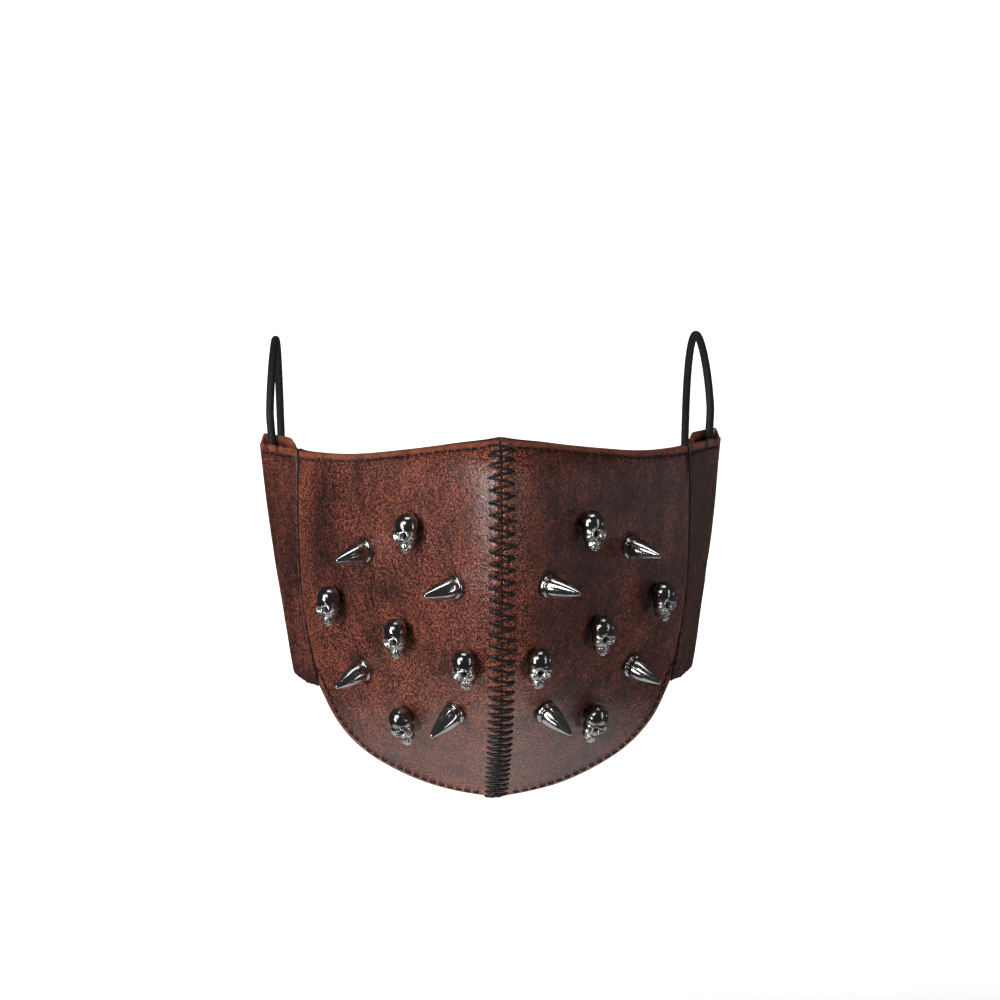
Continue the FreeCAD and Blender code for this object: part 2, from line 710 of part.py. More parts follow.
for name, spot in SPIKES.items():
    node = f"spike_{name}_left"
    keep(turned(node, SPIKE_PROFILE, lifted(spot, size_of["stud_lift"])), node)
for name, spot in SKULLS.items():
    skull(f"skull_{name}_left", lifted(spot, size_of["stud_lift"]))
screw_set("spike_screws_left", SPIKES)
screw_set("skull_screws_left", SKULLS)

# ---------------------------------------------------------------- the wearer's right half
doc.recompute()
for piece in list(pieces):
    if piece.Label.endswith("_left"):
        mirrored(piece, piece.Label[:-len("left")] + "right")
doc.recompute()

# ---------------------------------------------------------------- check and write
for item in doc.Objects:
    if {"Invalid", "Error"} & set(item.State):
        raise RuntimeError(f"{item.Label} failed: {item.State}")
for piece in pieces:
    if piece.Shape.isNull() or not piece.Shape.isValid() or piece.Shape.Volume <= 0:
        raise RuntimeError(f"{piece.Label} has no valid solid")
for piece in pieces:
    piece.Shape.exportStep(f"parts/{piece.Label}.step")

AXES = {
    "side fold hinge": (bottom_station[0], top_station[0] - bottom_station[0]),
    "ear loop hinge": (bottom_mouth, tunnel_way),
    "ear loop's way out": (top_mouth, tunnel_way),
}
for name, (spot, way) in AXES.items():
    print(f"{name}: through {[round(c, 3) for c in spot]} along {[round(c, 5) for c in way.normalize()]}")
print(f"{len(pieces)} pieces written")
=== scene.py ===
import math

import bmesh
import bpy
import numpy as np
from mathutils import Matrix, Vector, noise
from mathutils.bvhtree import BVHTree
from mathutils.kdtree import KDTree


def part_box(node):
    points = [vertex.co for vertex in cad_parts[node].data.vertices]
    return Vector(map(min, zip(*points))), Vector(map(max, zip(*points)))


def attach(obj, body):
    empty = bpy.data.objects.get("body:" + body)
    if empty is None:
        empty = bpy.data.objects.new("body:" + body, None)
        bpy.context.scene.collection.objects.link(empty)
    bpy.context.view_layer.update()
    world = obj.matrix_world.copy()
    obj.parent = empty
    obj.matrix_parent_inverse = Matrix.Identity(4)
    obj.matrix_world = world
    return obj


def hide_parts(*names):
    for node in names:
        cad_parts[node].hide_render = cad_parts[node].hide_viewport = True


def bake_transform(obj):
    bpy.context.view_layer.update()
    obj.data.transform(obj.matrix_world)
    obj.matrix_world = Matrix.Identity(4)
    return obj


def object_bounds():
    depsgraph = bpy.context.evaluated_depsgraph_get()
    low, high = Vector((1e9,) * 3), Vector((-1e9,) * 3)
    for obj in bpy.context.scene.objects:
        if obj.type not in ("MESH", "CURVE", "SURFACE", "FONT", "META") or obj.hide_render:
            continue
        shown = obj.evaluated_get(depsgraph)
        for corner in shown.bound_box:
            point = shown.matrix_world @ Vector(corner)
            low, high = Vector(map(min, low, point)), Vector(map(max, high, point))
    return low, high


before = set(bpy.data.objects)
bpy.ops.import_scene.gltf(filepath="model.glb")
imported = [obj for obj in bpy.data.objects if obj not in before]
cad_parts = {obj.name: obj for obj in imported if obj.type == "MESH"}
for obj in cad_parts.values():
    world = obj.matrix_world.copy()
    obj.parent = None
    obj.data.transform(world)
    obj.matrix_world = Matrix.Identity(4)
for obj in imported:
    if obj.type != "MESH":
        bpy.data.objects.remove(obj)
cad_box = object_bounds()

MM = 0.001
SIDES = {"left": 1, "right": -1}
FRONT = "mask_front"
STUD_NAMES = ("spike_nose", "spike_cheek", "spike_jaw", "spike_chin", "skull_cheekbone", "skull_side",
              "skull_cheek", "skull_lip", "skull_chin")


# ---------------------------------------------------------------- camera, floor and lights
NOSE = Vector((0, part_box("front_panel_left")[0].y, 0))
CAMERA_AZIMUTH = math.radians(-2.3)
CAMERA_ROLL = math.radians(-0.75)
CAMERA_SHIFT = Vector((-0.7 * MM, 0, 0.4 * MM))
CAMERA_AWAY = 1.6
LENS = 177.2
# The studio's half width, how far its floor is below the mask, and the backdrop's place, bend and top.
STUDIO, FLOOR_BELOW, BACK_Y, BEND, STUDIO_TOP = 3.2, 0.12, 2.7, 0.8, 3.4
# Half the width of the floor that the mask reflects.
MIRRORED_FLOOR = 0.22


def linked(name, data):
    """A new object in the scene."""
    made = bpy.data.objects.new(name, data)
    bpy.context.scene.collection.objects.link(made)
    return made


def make_camera():
    camera = linked("camera", bpy.data.cameras.new("camera"))
    back = Vector((math.sin(CAMERA_AZIMUTH), -math.cos(CAMERA_AZIMUTH), 0))
    camera.location = NOSE + CAMERA_SHIFT + back * CAMERA_AWAY
    turn = (-back).to_track_quat("-Z", "Y").to_matrix() @ Matrix.Rotation(CAMERA_ROLL, 3, "Z")
    camera.rotation_euler = turn.to_euler()
    camera.data.lens = LENS
    camera.data.sensor_width = 36
    camera.data.clip_start, camera.data.clip_end = 0.05, 20
    bpy.context.scene.camera = camera


def area_light(name, place, target, size, watts, colour=(1, 1, 1)):
    light = linked(name, bpy.data.lights.new(name, "AREA"))
    light.data.shape = "RECTANGLE"
    light.data.size, light.data.size_y = size
    light.data.energy = watts
    light.data.color = colour
    light.location = place
    light.rotation_euler = (Vector(target) - Vector(place)).to_track_quat("-Z", "Y").to_euler()


def stage_strip(name, profile, paper, sides=(-STUDIO, STUDIO), mirrored=False):
    """A strip of paper along a profile of (y, z) points, which the object reflects or doesn't."""
    points = [(x, y, z) for y, z in profile for x in sides]
    faces = [(2 * i, 2 * i + 1, 2 * i + 3, 2 * i + 2) for i in range(len(profile) - 1)]
    mesh = bpy.data.meshes.new(name)
    mesh.from_pydata(points, [], faces)
    mesh.shade_smooth()
    mesh.materials.append(paper)
    strip = linked(name, mesh)
    strip.visible_glossy = mirrored


def make_studio():
    """A pale floor that curves up into a backdrop, a round pale wall about it all, and soft lights."""
    floor_z, curve_y = cad_box[0].z - FLOOR_BELOW, BACK_Y - BEND
    paper = pale_paper()
    near, far, wide = (cad_box[0].y, floor_z), (cad_box[1].y + 0.1, floor_z), MIRRORED_FLOOR
    stage_strip("floor_in_front", [(-STUDIO, floor_z), near], paper)
    stage_strip("floor_on_one_side", [near, far], paper, (-STUDIO, -wide))
    stage_strip("floor_under_it", [near, far], paper, (-wide, wide), mirrored=True)
    stage_strip("floor_on_the_other_side", [near, far], paper, (wide, STUDIO))
    stage_strip("floor_behind", [far, (curve_y, floor_z)], paper)
    steps, sides, radius = 12, 48, 0.98 * STUDIO
    angles = [step / steps * math.pi / 2 for step in range(steps + 1)]
    curve = [(curve_y + BEND * math.sin(a), floor_z + BEND * (1 - math.cos(a))) for a in angles]
    stage_strip("backdrop", curve + [(BACK_Y, STUDIO_TOP)], paper)
    turns = [step / sides * 2 * math.pi for step in range(sides)]
    around = [(radius * math.cos(a), radius * math.sin(a), z) for z in (floor_z, STUDIO_TOP) for a in turns]
    mesh = bpy.data.meshes.new("wall")
    mesh.from_pydata(around, [], lattice_faces(2, sides, True).tolist())
    mesh.materials.append(bright_wall())
    wall = linked("wall", mesh)
    wall.visible_diffuse = wall.visible_glossy = wall.visible_shadow = False
    world = bpy.data.worlds.new("studio")
    world.use_nodes = True
    world.node_tree.nodes["Background"].inputs["Color"].default_value = (0.055, 0.056, 0.060, 1)
    bpy.context.scene.world = world
    face = (0, -0.05, -0.03)
    area_light("key", (-1.13, -0.93, 0.0), face, (0.18, 1.2), 15.5, (0.98, 0.975, 1))
    area_light("front", (-0.85, -1.30, 0.55), face, (0.6, 0.5), 8, (1, 0.99, 0.98))
    area_light("strip", (1.12, -0.86, 0.0), face, (0.09, 1.2), 2.6, (0.96, 0.97, 1))
    area_light("top", (0.0, -0.5, 1.15), face, (0.7, 0.3), 3.2)
    area_light("haze", (1.30, 0.40, -0.10), face, (0.22, 0.2), 0.35, (0.94, 0.97, 1))
    bpy.context.scene.view_settings.view_transform = "Standard"


# ---------------------------------------------------------------- materials
class Shader:
    """A Principled material with a few helpers for its procedural detail."""

    def __init__(self, name, colour=(0.5, 0.5, 0.5), **sockets):
        self.material = bpy.data.materials.new(name)
        self.material.use_nodes = True
        self.tree = self.material.node_tree
        self.principled = self.tree.nodes["Principled BSDF"]
        self.principled.inputs["Base Color"].default_value = (*colour, 1)
        for socket, value in sockets.items():
            self.principled.inputs[socket.replace("_", " ")].default_value = value
        self.place = self.tree.nodes.new("ShaderNodeTexCoord").outputs["Object"]

    def node(self, kind, **settings):
        made = self.tree.nodes.new("ShaderNode" + kind)
        for name, value in settings.items():
            if hasattr(made, name):
                setattr(made, name, value)
            else:
                self.feed(made.inputs[name.replace("_", " ")], value)
        return made

    def feed(self, socket, value):
        if isinstance(value, bpy.types.NodeSocket):
            self.tree.links.new(value, socket)
        else:
            socket.default_value = value

    def noise(self, per_mm, detail=4, roughness=0.55, distortion=0.0, place=None):
        made = self.node("TexNoise", Scale=per_mm / MM, Detail=detail, Roughness=roughness,
                         Distortion=distortion, Vector=place or self.place)
        return made.outputs["Fac"]

    def cells(self, per_mm):
        return self.node("TexVoronoi", Scale=per_mm / MM, Vector=self.place).outputs["Distance"]

    def stretched(self, scale, turn=(0, 0, 0)):
        made = self.node("Mapping", Vector=self.place)
        made.inputs["Scale"].default_value = scale
        made.inputs["Rotation"].default_value = turn
        return made.outputs["Vector"]

    def ramp(self, value, *stops):
        """A grey between two stops, each (value, grey)."""
        made = self.node("ValToRGB", Fac=value)
        for element, (at, grey) in zip(made.color_ramp.elements, stops):
            element.position = at
            element.color = (grey, grey, grey, 1)
        return made.outputs["Color"]

    def mix(self, share, a, b):
        made = self.node("Mix", data_type="RGBA")
        self.feed(made.inputs["Factor"], share)
        for socket, value in (("A", a), ("B", b)):
            plain = (*value, 1) if isinstance(value, tuple) else value
            self.feed([s for s in made.inputs if s.name == socket and s.type == "RGBA"][0], plain)
        return [s for s in made.outputs if s.type == "RGBA"][0]

    def maths(self, operation, a, b):
        made = self.node("Math", operation=operation)
        self.feed(made.inputs[0], a)
        self.feed(made.inputs[1], b)
        return made.outputs["Value"]

    def attribute(self, name):
        return self.node("Attribute", attribute_name=name).outputs["Fac"]

    def bump(self, *layers):
        """Bump layers, each (height socket, distance in mm), the largest first."""
        normal = None
        for height, distance in layers:
            made = self.node("Bump", Height=height, Distance=distance * MM)
            if normal is not None:
                self.feed(made.inputs["Normal"], normal)
            normal = made.outputs["Normal"]
        self.feed(self.principled.inputs["Normal"], normal)

    def colour(self, socket):
        self.feed(self.principled.inputs["Base Color"], socket)

    def roughness(self, socket):
        self.feed(self.principled.inputs["Roughness"], socket)


def leather():
    """Waxed brown leather: rubbed dark patches, speckled grain, polished ridges, lighter turned edges,
    painted shade over one half, and painted shade in grooves, seams and round the studs.
    """
    s = Shader("distressed_leather", Specular_IOR_Level=0.62)
    tall = s.stretched((1.0, 1.0, 0.42), (0, 0.2, 0))
    patches = s.ramp(s.noise(0.060, 6, 0.62, 0.8, tall), (0.42, 0.0), (0.64, 1.0))
    crackle = s.ramp(s.noise(0.60, 7, 0.82, 0.5, tall), (0.45, 0.0), (0.56, 1.0))
    specks = s.noise(1.60, 3, 0.80)
    grain = s.cells(1.3)
    warm = s.mix(s.ramp(s.noise(0.050, 5, 0.6, 0.4), (0.40, 0.0), (0.60, 1.0)),
                 (0.225, 0.054, 0.027), (0.140, 0.032, 0.022))
    # The dark value holds the listed stains and painted shade: a darker half and casing away from the key
    # light, and the seam welts.
    stains_and_shade = s.maths("MULTIPLY", s.attribute("dark"), 0.82)
    rubbed = s.maths("ADD", s.maths("MULTIPLY", patches, 0.42), stains_and_shade)
    rubbed = s.maths("MULTIPLY", rubbed, s.maths("ADD", s.maths("MULTIPLY", crackle, 0.60), 0.62))
    colour = s.mix(s.ramp(rubbed, (0.05, 0.0), (0.75, 0.93)), warm, (0.024, 0.0085, 0.0062))
    colour = s.mix(s.ramp(specks, (0.485, 0.0), (0.53, 0.97)), colour, (0.008, 0.0028, 0.0024))
    not_darkened = s.ramp(rubbed, (0.1, 0.95), (0.6, 0.14))
    lit = s.maths("MULTIPLY", s.ramp(specks, (0.41, 1.0), (0.48, 0.0)), not_darkened)
    colour = s.mix(lit, colour, (0.400, 0.118, 0.068))
    worn = s.ramp(s.noise(0.35, 4), (0.35, 0.25), (0.6, 0.75))
    turned = s.maths("MULTIPLY", s.attribute("rim"), worn)
    colour = s.mix(turned, colour, (0.310, 0.090, 0.046))
    # The edge value darkens the leather almost to black: painted shade in stitch grooves, by the lacing,
    # round the studs and beside the seams, and the dark cut edges and butt joint.
    colour = s.mix(s.maths("MULTIPLY", s.attribute("edge"), 0.9), colour, (0.008, 0.003, 0.003))
    s.colour(colour)
    dull = s.ramp(s.noise(0.5, 4, 0.6), (0.3, 0.27), (0.7, 0.36))
    s.roughness(s.mix(s.attribute("polish"), dull, (0.17, 0.17, 0.17)))
    s.bump((s.noise(0.10, 3), 0.35), (s.noise(0.42, 4, 0.6), 0.09), (grain, 0.07), (specks, 0.11))
    return s.material


def pale_paper():
    """White studio paper, which glows less under the object than behind it."""
    s = Shader("pale_paper", (0.9, 0.9, 0.9), Roughness=0.9, Emission_Color=(1, 1, 1, 1))
    away = s.node("SeparateXYZ", Vector=s.place).outputs["Y"]
    glow = s.node("MapRange", Value=away, From_Min=0.15, From_Max=1.0, To_Min=0.26, To_Max=0.95)
    s.feed(s.principled.inputs["Emission Strength"], glow.outputs["Result"])
    s.bump((s.noise(0.05, 3), 0.1))
    return s.material


def bright_wall():
    """A plain bright wall, which only the camera sees."""
    s = Shader("bright_wall", (0.9, 0.9, 0.9), Roughness=0.9, Emission_Color=(1, 1, 1, 1),
               Emission_Strength=0.95)
    s.bump((s.noise(0.05, 3), 0.1))
    return s.material


def lining_cloth():
    """A black brushed lining with a fine weave."""
    s = Shader("lining_cloth", Roughness=0.92, Sheen_Weight=0.35, Sheen_Roughness=0.5)
    over, under = (s.node("TexWave", Vector=s.place, bands_direction=way, Scale=0.55 / MM, Distortion=0.6,
                          Detail=2.0).outputs["Fac"] for way in "XZ")
    weave = s.maths("MULTIPLY", over, under)
    s.colour(s.mix(s.noise(0.12, 5), (0.018, 0.016, 0.016), (0.045, 0.041, 0.040)))
    s.bump((s.noise(0.1, 4), 0.4), (weave, 0.12), (s.noise(4.0, 3), 0.05))
    return s.material


def thread():
    """Black waxed polyester thread."""
    s = Shader("black_thread", Roughness=0.36, Specular_IOR_Level=0.5)
    s.colour(s.mix(s.noise(1.5, 3), (0.004, 0.003, 0.003), (0.012, 0.008, 0.007)))
    s.bump((s.noise(5.0, 3, 0.6), 0.05))
    return s.material


def black_nickel(name, light, dark, rough):
    """Polished dark plating with faint dirt and fine scratches."""
    s = Shader(name, Metallic=1.0)
    scratch = s.noise(0.6, 3, 0.6, 0.0, s.stretched((1.0, 6.0, 1.0)))
    s.colour(s.mix(s.noise(0.25, 5, 0.6), light, dark))
    s.roughness(s.ramp(scratch, (0.35, rough), (0.75, rough + 0.14)))
    s.bump((s.noise(0.8, 4, 0.6), 0.02), (scratch, 0.006))
    return s.material


def cast_metal():
    """Black nickel on a casting, rubbed through to a paler metal on the face, with painted shade darkening
    its hollows.
    """
    s = Shader("cast_black_nickel", Metallic=1.0)
    face = s.maths("MULTIPLY", s.attribute("face"), s.ramp(s.noise(0.5, 5, 0.6), (0.3, 0.55), (0.6, 1.0)))
    plate = s.mix(s.noise(0.3, 5, 0.6), (0.33, 0.32, 0.31), (0.20, 0.195, 0.19))
    painted_hollow_shade = s.node("AmbientOcclusion", Distance=1.2 * MM, samples=8).outputs["AO"]
    worn = s.mix(face, plate, (0.60, 0.585, 0.56))
    # Painted shade: the hollows found by ambient occlusion are darkened almost to black.
    s.colour(s.mix(s.ramp(painted_hollow_shade, (0.50, 1.0), (0.90, 0.0)), worn, (0.016, 0.015, 0.014)))
    s.roughness(s.ramp(face, (0.0, 0.15), (1.0, 0.29)))
    s.bump((s.noise(1.6, 4, 0.6), 0.05))
    return s.material


def elastic():
    """Black braided elastic."""
    s = Shader("black_elastic", Roughness=0.62, Specular_IOR_Level=0.3)
    s.colour(s.mix(s.noise(0.9, 4), (0.005, 0.005, 0.006), (0.016, 0.016, 0.018)))
    s.bump((s.noise(2.4, 3), 0.06))
    return s.material


def foam_rubber():
    s = Shader("black_foam", Roughness=0.95)
    s.colour(s.mix(s.noise(0.7, 4), (0.020, 0.020, 0.020), (0.050, 0.050, 0.050)))
    s.bump((s.cells(1.6), 0.12))
    return s.material


def plain_steel():
    s = Shader("zinc_steel", Metallic=1.0)
    s.colour(s.mix(s.noise(0.4, 4), (0.52, 0.52, 0.50), (0.34, 0.34, 0.33)))
    s.roughness(s.ramp(s.noise(1.4, 4), (0.3, 0.26), (0.7, 0.42)))
    s.bump((s.noise(2.0, 4), 0.02))
    return s.material


LEATHER, LINING, THREAD, ELASTIC = leather(), lining_cloth(), thread(), elastic()
FOAM, STEEL = foam_rubber(), plain_steel()
SPIKE_METAL = black_nickel("polished_black_nickel", (0.50, 0.49, 0.48), (0.34, 0.33, 0.32), 0.07)
SKULL_METAL = cast_metal()


# ---------------------------------------------------------------- mesh helpers
def new_object(name, points, faces, material):
    mesh = bpy.data.meshes.new(name)
    mesh.from_pydata(np.asarray(points).tolist(), [], faces)
    mesh.validate()
    mesh.shade_smooth()
    mesh.materials.append(material)
    return linked(name, mesh)


def stands_for(piece, body, node):
    """The piece rides on a body and takes the place of a CAD node."""
    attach(piece, body)
    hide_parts(node)


def lattice_faces(rows, columns, closed=False):
    """Quads of a grid whose points are listed row by row."""
    r = np.arange(rows - 1)[:, None]
    c = np.arange(columns if closed else columns - 1)[None, :]
    after = (c + 1) % columns
    return np.stack([r * columns + c, r * columns + after, (r + 1) * columns + after,
                     (r + 1) * columns + c], -1).reshape(-1, 4)


def tube_faces(rings, around):
    """Faces of a tube whose rings are followed by the two points that close its ends."""
    faces = lattice_faces(rings, around, True).tolist()
    last, start, end = (rings - 1) * around, rings * around, rings * around + 1
    for i in range(around):
        after = (i + 1) % around
        faces.append([after, i, start])
        faces.append([last + i, last + after, end])
    return faces


def directions(path, ups):
    """Unit vectors to the side and up at each point of a path."""
    ahead = np.gradient(path, axis=0)
    ahead /= np.linalg.norm(ahead, axis=1)[:, None]
    side = np.cross(ahead, ups)
    side /= np.linalg.norm(side, axis=1)[:, None]
    return side, np.cross(side, ahead)


def swept(path, radius, around, ups):
    """Points and faces of a tube along a path, closed at both ends by a point."""
    side, up = directions(path, ups)
    angles = np.arange(around) / around * 2 * np.pi
    ring = side[:, None] * np.cos(angles)[None, :, None] + up[:, None] * np.sin(angles)[None, :, None]
    tube = path[:, None] + ring * radius[..., None]
    points = np.concatenate([tube.reshape(-1, 3), path[:1], path[-1:]])
    return points, tube_faces(len(path), around)


def gathered(parts):
    """Several (points, faces) as one."""
    points, faces, offset = [], [], 0
    for p, f in parts:
        points.append(p)
        faces += [[i + offset for i in face] for face in f]
        offset += len(p)
    return np.concatenate(points), faces


def welded(node):
    """A CAD node's mesh, as a bmesh whose faces share their points."""
    bm = bmesh.new()
    bm.from_mesh(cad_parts[node].data)
    bmesh.ops.remove_doubles(bm, verts=bm.verts, dist=0.002 * MM)
    return bm


def islands(node):
    """The points of each separate solid of a CAD node."""
    bm = welded(node)
    found, seen = [], set()
    for first in bm.verts:
        if first in seen:
            continue
        seen.add(first)
        group, queue = [], [first]
        while queue:
            v = queue.pop()
            group.append(tuple(v.co))
            for e in v.link_edges:
                other = e.other_vert(v)
                if other not in seen:
                    seen.add(other)
                    queue.append(other)
        found.append(np.array(group))
    bm.free()
    return found


def long_ends(points):
    """The two ends of a long thin solid's middle line."""
    centre = points.mean(0)
    way = np.linalg.svd(points - centre, full_matrices=False)[2][0]
    along = (points - centre) @ way
    return centre + way * along.min(), centre + way * along.max()


def evaluated(piece):
    """A new mesh of an object with its modifiers or its curve worked out."""
    bpy.context.view_layer.update()
    return bpy.data.meshes.new_from_object(piece.evaluated_get(bpy.context.evaluated_depsgraph_get()))


def tree_of_faces(node):
    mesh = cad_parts[node].data
    return BVHTree.FromPolygons([v.co for v in mesh.vertices], [p.vertices for p in mesh.polygons])


def tree_of_points(points):
    tree = KDTree(len(points))
    for i, p in enumerate(points):
        tree.insert(p, i)
    tree.balance()
    return tree


make_camera()
make_studio()


# ---------------------------------------------------------------- the cheek surface, read from the frame
def run_along(points):
    """Distance along a line of points from its first."""
    return np.concatenate([[0], np.cumsum(np.linalg.norm(np.diff(points, axis=0), axis=1))])


class Skin:
    """One face of a curved CAD sheet of the left half, as a smooth function over the front view."""

    RIDGE_ROUND, FLARE_FROM, FLARE_POWER = 9 * MM, 66.3 * MM, 8
    DEGREE = 22

    def __init__(self, node, way):
        self.way = way          # 1: the face seen from the front, -1: the face seen from behind
        self.tree = tree_of_faces(node)
        self.low, self.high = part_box(node)
        self.start = self.low.y - 0.01 if way > 0 else self.high.y + 0.01
        self.fit()
        self.find_outline()

    def met(self, x, z):
        """Where a ray along Y first meets the sheet, or None."""
        hit = self.tree.ray_cast(Vector((x, self.start, z)), Vector((0, self.way, 0)))[0]
        return None if hit is None else hit.y

    def basis(self, x, z):
        """A ridge, a cheek slope and a flare over x, each free to change with height."""
        across = x / self.FLARE_FROM
        ridge = self.RIDGE_ROUND / self.FLARE_FROM
        kinds = [np.ones_like(x), np.hypot(across, ridge), across ** self.FLARE_POWER]
        if self.way < 0:
            kinds += [np.hypot(across, 0.6 * ridge), across ** 4]
        up = (2 * z - self.high.z - self.low.z) / (self.high.z - self.low.z)
        heights = np.polynomial.chebyshev.chebvander(up, self.DEGREE)
        return np.concatenate([heights * kind[:, None] for kind in kinds], 1)

    def fit(self):
        step = 0.9 * MM
        near = np.arange(0.06, 1.8, 0.2) * MM
        heights = np.concatenate([self.low.z + near, np.arange(self.low.z, self.high.z, step)[2:-2],
                                  self.high.z - near])
        rows = [(x, z, self.met(x, z)) for x in np.arange(self.low.x + 0.25 * MM, self.high.x, step)
                for z in heights]
        x, z, y = np.array([row for row in rows if row[2] is not None]).T
        keep = np.ones(len(x), bool)
        for _ in range(4):
            self.weights = np.linalg.lstsq(self.basis(x[keep], z[keep]), y[keep], rcond=1e-9)[0]
            off = np.abs(self.basis(x, z) @ self.weights - y)
            keep = off < max(0.15 * MM, 3 * off[keep].std())

    def point(self, x, z):
        shape = np.shape(x)
        x, z = np.ravel(x), np.ravel(z)
        y = self.basis(x, z) @ self.weights
        return np.stack([x, y, z], -1).reshape(*shape, 3)

    def normal(self, x, z):
        d = 0.05 * MM
        slope_x = (self.point(x + d, z) - self.point(np.maximum(x - d, 0), z))[..., 1]
        slope_x = slope_x / (x + d - np.maximum(x - d, 0))
        slope_z = (self.point(x, z + d) - self.point(x, z - d))[..., 1] / (2 * d)
        n = np.stack([slope_x, -np.ones_like(slope_x), slope_z], -1) * self.way
        return n / np.linalg.norm(n, axis=-1)[..., None]

    def find_outline(self):
        """The four edge curves in the front view: top, bottom, seam and ridge."""
        centre = np.array([(self.low.x + self.high.x) / 2, (self.low.z + self.high.z) / 2 + 8 * MM])
        count, edge = 1440, []
        for i in range(count):
            way = np.array([math.sin(2 * math.pi * i / count), math.cos(2 * math.pi * i / count)])
            inside = outside = 100 * MM
            while inside > 0 and self.met(*(centre + way * inside)) is None:
                outside, inside = inside, inside - 1 * MM
            for _ in range(12):
                middle = (inside + outside) / 2
                if self.met(*(centre + way * middle)) is None:
                    outside = middle
                else:
                    inside = middle
            edge.append(centre + way * inside)
        edge = np.array(edge)
        x, z = edge.T
        corners = [int(np.argmax(m)) for m in (z - 0.5 * x, x + z, x - 0.33 * z, -z - 0.5 * x)]
        upper_ridge, upper_seam, lower_seam, lower_ridge = corners
        order = np.roll(edge, -upper_ridge, axis=0)
        a, b, c = ((k - upper_ridge) % count for k in (upper_seam, lower_seam, lower_ridge))
        self.top = self.smooth_curve(order[:a + 1])
        self.seam = self.smooth_curve(order[a:b + 1])
        self.bottom = self.smooth_curve(order[b:c + 1][::-1])
        self.seam_line = tree_of_points([(x, 0, z) for x, z in self.seam(np.linspace(0, 1, 200)).T])
        ends = self.top(0.0), self.bottom(0.0)
        drop = ends[1][1] - ends[0][1]
        self.ridge = lambda t: np.stack([np.full_like(t, self.low.x), ends[0][1] + t * drop])

    @staticmethod
    def smooth_curve(points):
        run = run_along(points)
        weights = np.polynomial.chebyshev.chebfit(2 * run / run[-1] - 1, points, 9)
        return lambda t: np.polynomial.chebyshev.chebval(2 * np.asarray(t) - 1, weights)

    def seam_distance(self, point):
        """How far from the side seam a point is in the front view."""
        return self.seam_line.find((abs(point[0]), 0, point[2]))[2]

    def spot(self, u, v):
        """(x, z) at u from the ridge to the side seam and v from the top to the bottom rim."""
        u, v = np.broadcast_arrays(u, v)
        top, bottom, seam, ridge = self.top(u), self.bottom(u), self.seam(v), self.ridge(v)
        c00, c10, c01, c11 = (np.asarray(p)[:, None, None] for p in
                              (self.top(0.0), self.top(1.0), self.bottom(0.0), self.bottom(1.0)))
        x, z = ((1 - v) * top + v * bottom + (1 - u) * ridge + u * seam - (1 - u) * (1 - v) * c00
                - u * (1 - v) * c10 - (1 - u) * v * c01 - u * v * c11)
        return np.maximum(x, self.low.x), z

    def grid(self, across_mm, nominal, edge_mm, middle_rows):
        """A grid of spots: columns at distances from the ridge, rows at true distances from both rims."""
        u = np.array(across_mm) / nominal
        dense = np.linspace(0, 1, 300)
        x, z = self.spot(u[:, None], dense[None, :])
        line = self.point(x, z)
        edge = np.array(edge_mm) * MM
        v = []
        for run in run_from(line, 1):
            middle = np.linspace(edge[-1], run[-1] - edge[-1], middle_rows)[1:-1]
            v.append(np.interp(np.concatenate([edge, middle, (run[-1] - edge)[::-1]]), run, dense))
        return self.spot(u[:, None], np.array(v))


def run_from(points, axis, reverse=False):
    """Distance along a grid's lines from their first or last point."""
    step = np.linalg.norm(np.diff(points, axis=axis), axis=2)
    shape = list(points.shape[:2])
    shape[axis] = 1
    run = np.concatenate([np.zeros(shape), np.cumsum(step, axis)], axis)
    return np.take(run, [-1], axis) - run if reverse else run


def eased(value, low, high):
    t = np.clip((value - low) / (high - low), 0, 1)
    return t * t * (3 - 2 * t)


def hump(distance, at, wide, power=2):
    """1 at a distance, in mm, and fading to 0 over about a width, in mm."""
    return np.exp(-((distance - at * MM) / (wide * MM)) ** power)


def round_off(distance, radius):
    """How far a rounded edge lies inside the face, at a distance from the edge."""
    short = np.clip(1 - distance / radius, 0, 1)
    return radius * (1 - np.sqrt(1 - short ** 2))


def waves(points, size, strength, seed):
    """Smooth random swelling of points."""
    return np.array([noise.noise(Vector(p) / size + Vector((seed, seed * 1.7, seed * 2.3)))
                     for p in points.reshape(-1, 3)]).reshape(points.shape[:-1]) * strength


def nearness(points, targets, size):
    """1 at the targets, fading to 0 over a distance of about size."""
    tree = tree_of_points(targets)
    far = np.array([tree.find(p)[2] for p in points.reshape(-1, 3)]).reshape(points.shape[:-1])
    return np.exp(-(far / size) ** 2), far


def sheet_mesh(outer, inner, turned):
    """A closed sheet from two grids, which meet along the outer one's edges."""
    rows, columns = outer.shape[:2]
    index = np.arange(rows * columns).reshape(rows, columns)
    under = index + rows * columns
    for edge in (np.s_[0, :], np.s_[-1, :], np.s_[:, 0], np.s_[:, -1]):
        under[edge] = index[edge]
    corner = lattice_faces(rows, columns)
    below = under.ravel()[corner][:, ::-1]
    points = np.concatenate([outer.reshape(-1, 3), inner.reshape(-1, 3)])
    faces = np.concatenate([corner, below])
    used = np.unique(faces)
    renumber = np.zeros(len(points), int)
    renumber[used] = np.arange(len(used))
    faces = renumber[faces]
    return points[used], (faces[:, ::-1] if turned else faces).tolist(), used


PANEL = Skin("front_panel_left", 1)


# ---------------------------------------------------------------- stitches
def line_through(pairs, steps):
    """Points along each of several straight stitches."""
    a, b = np.array(pairs).transpose(1, 0, 2)
    return np.concatenate([a + (b - a) * t for t in np.linspace(0, 1, steps)])


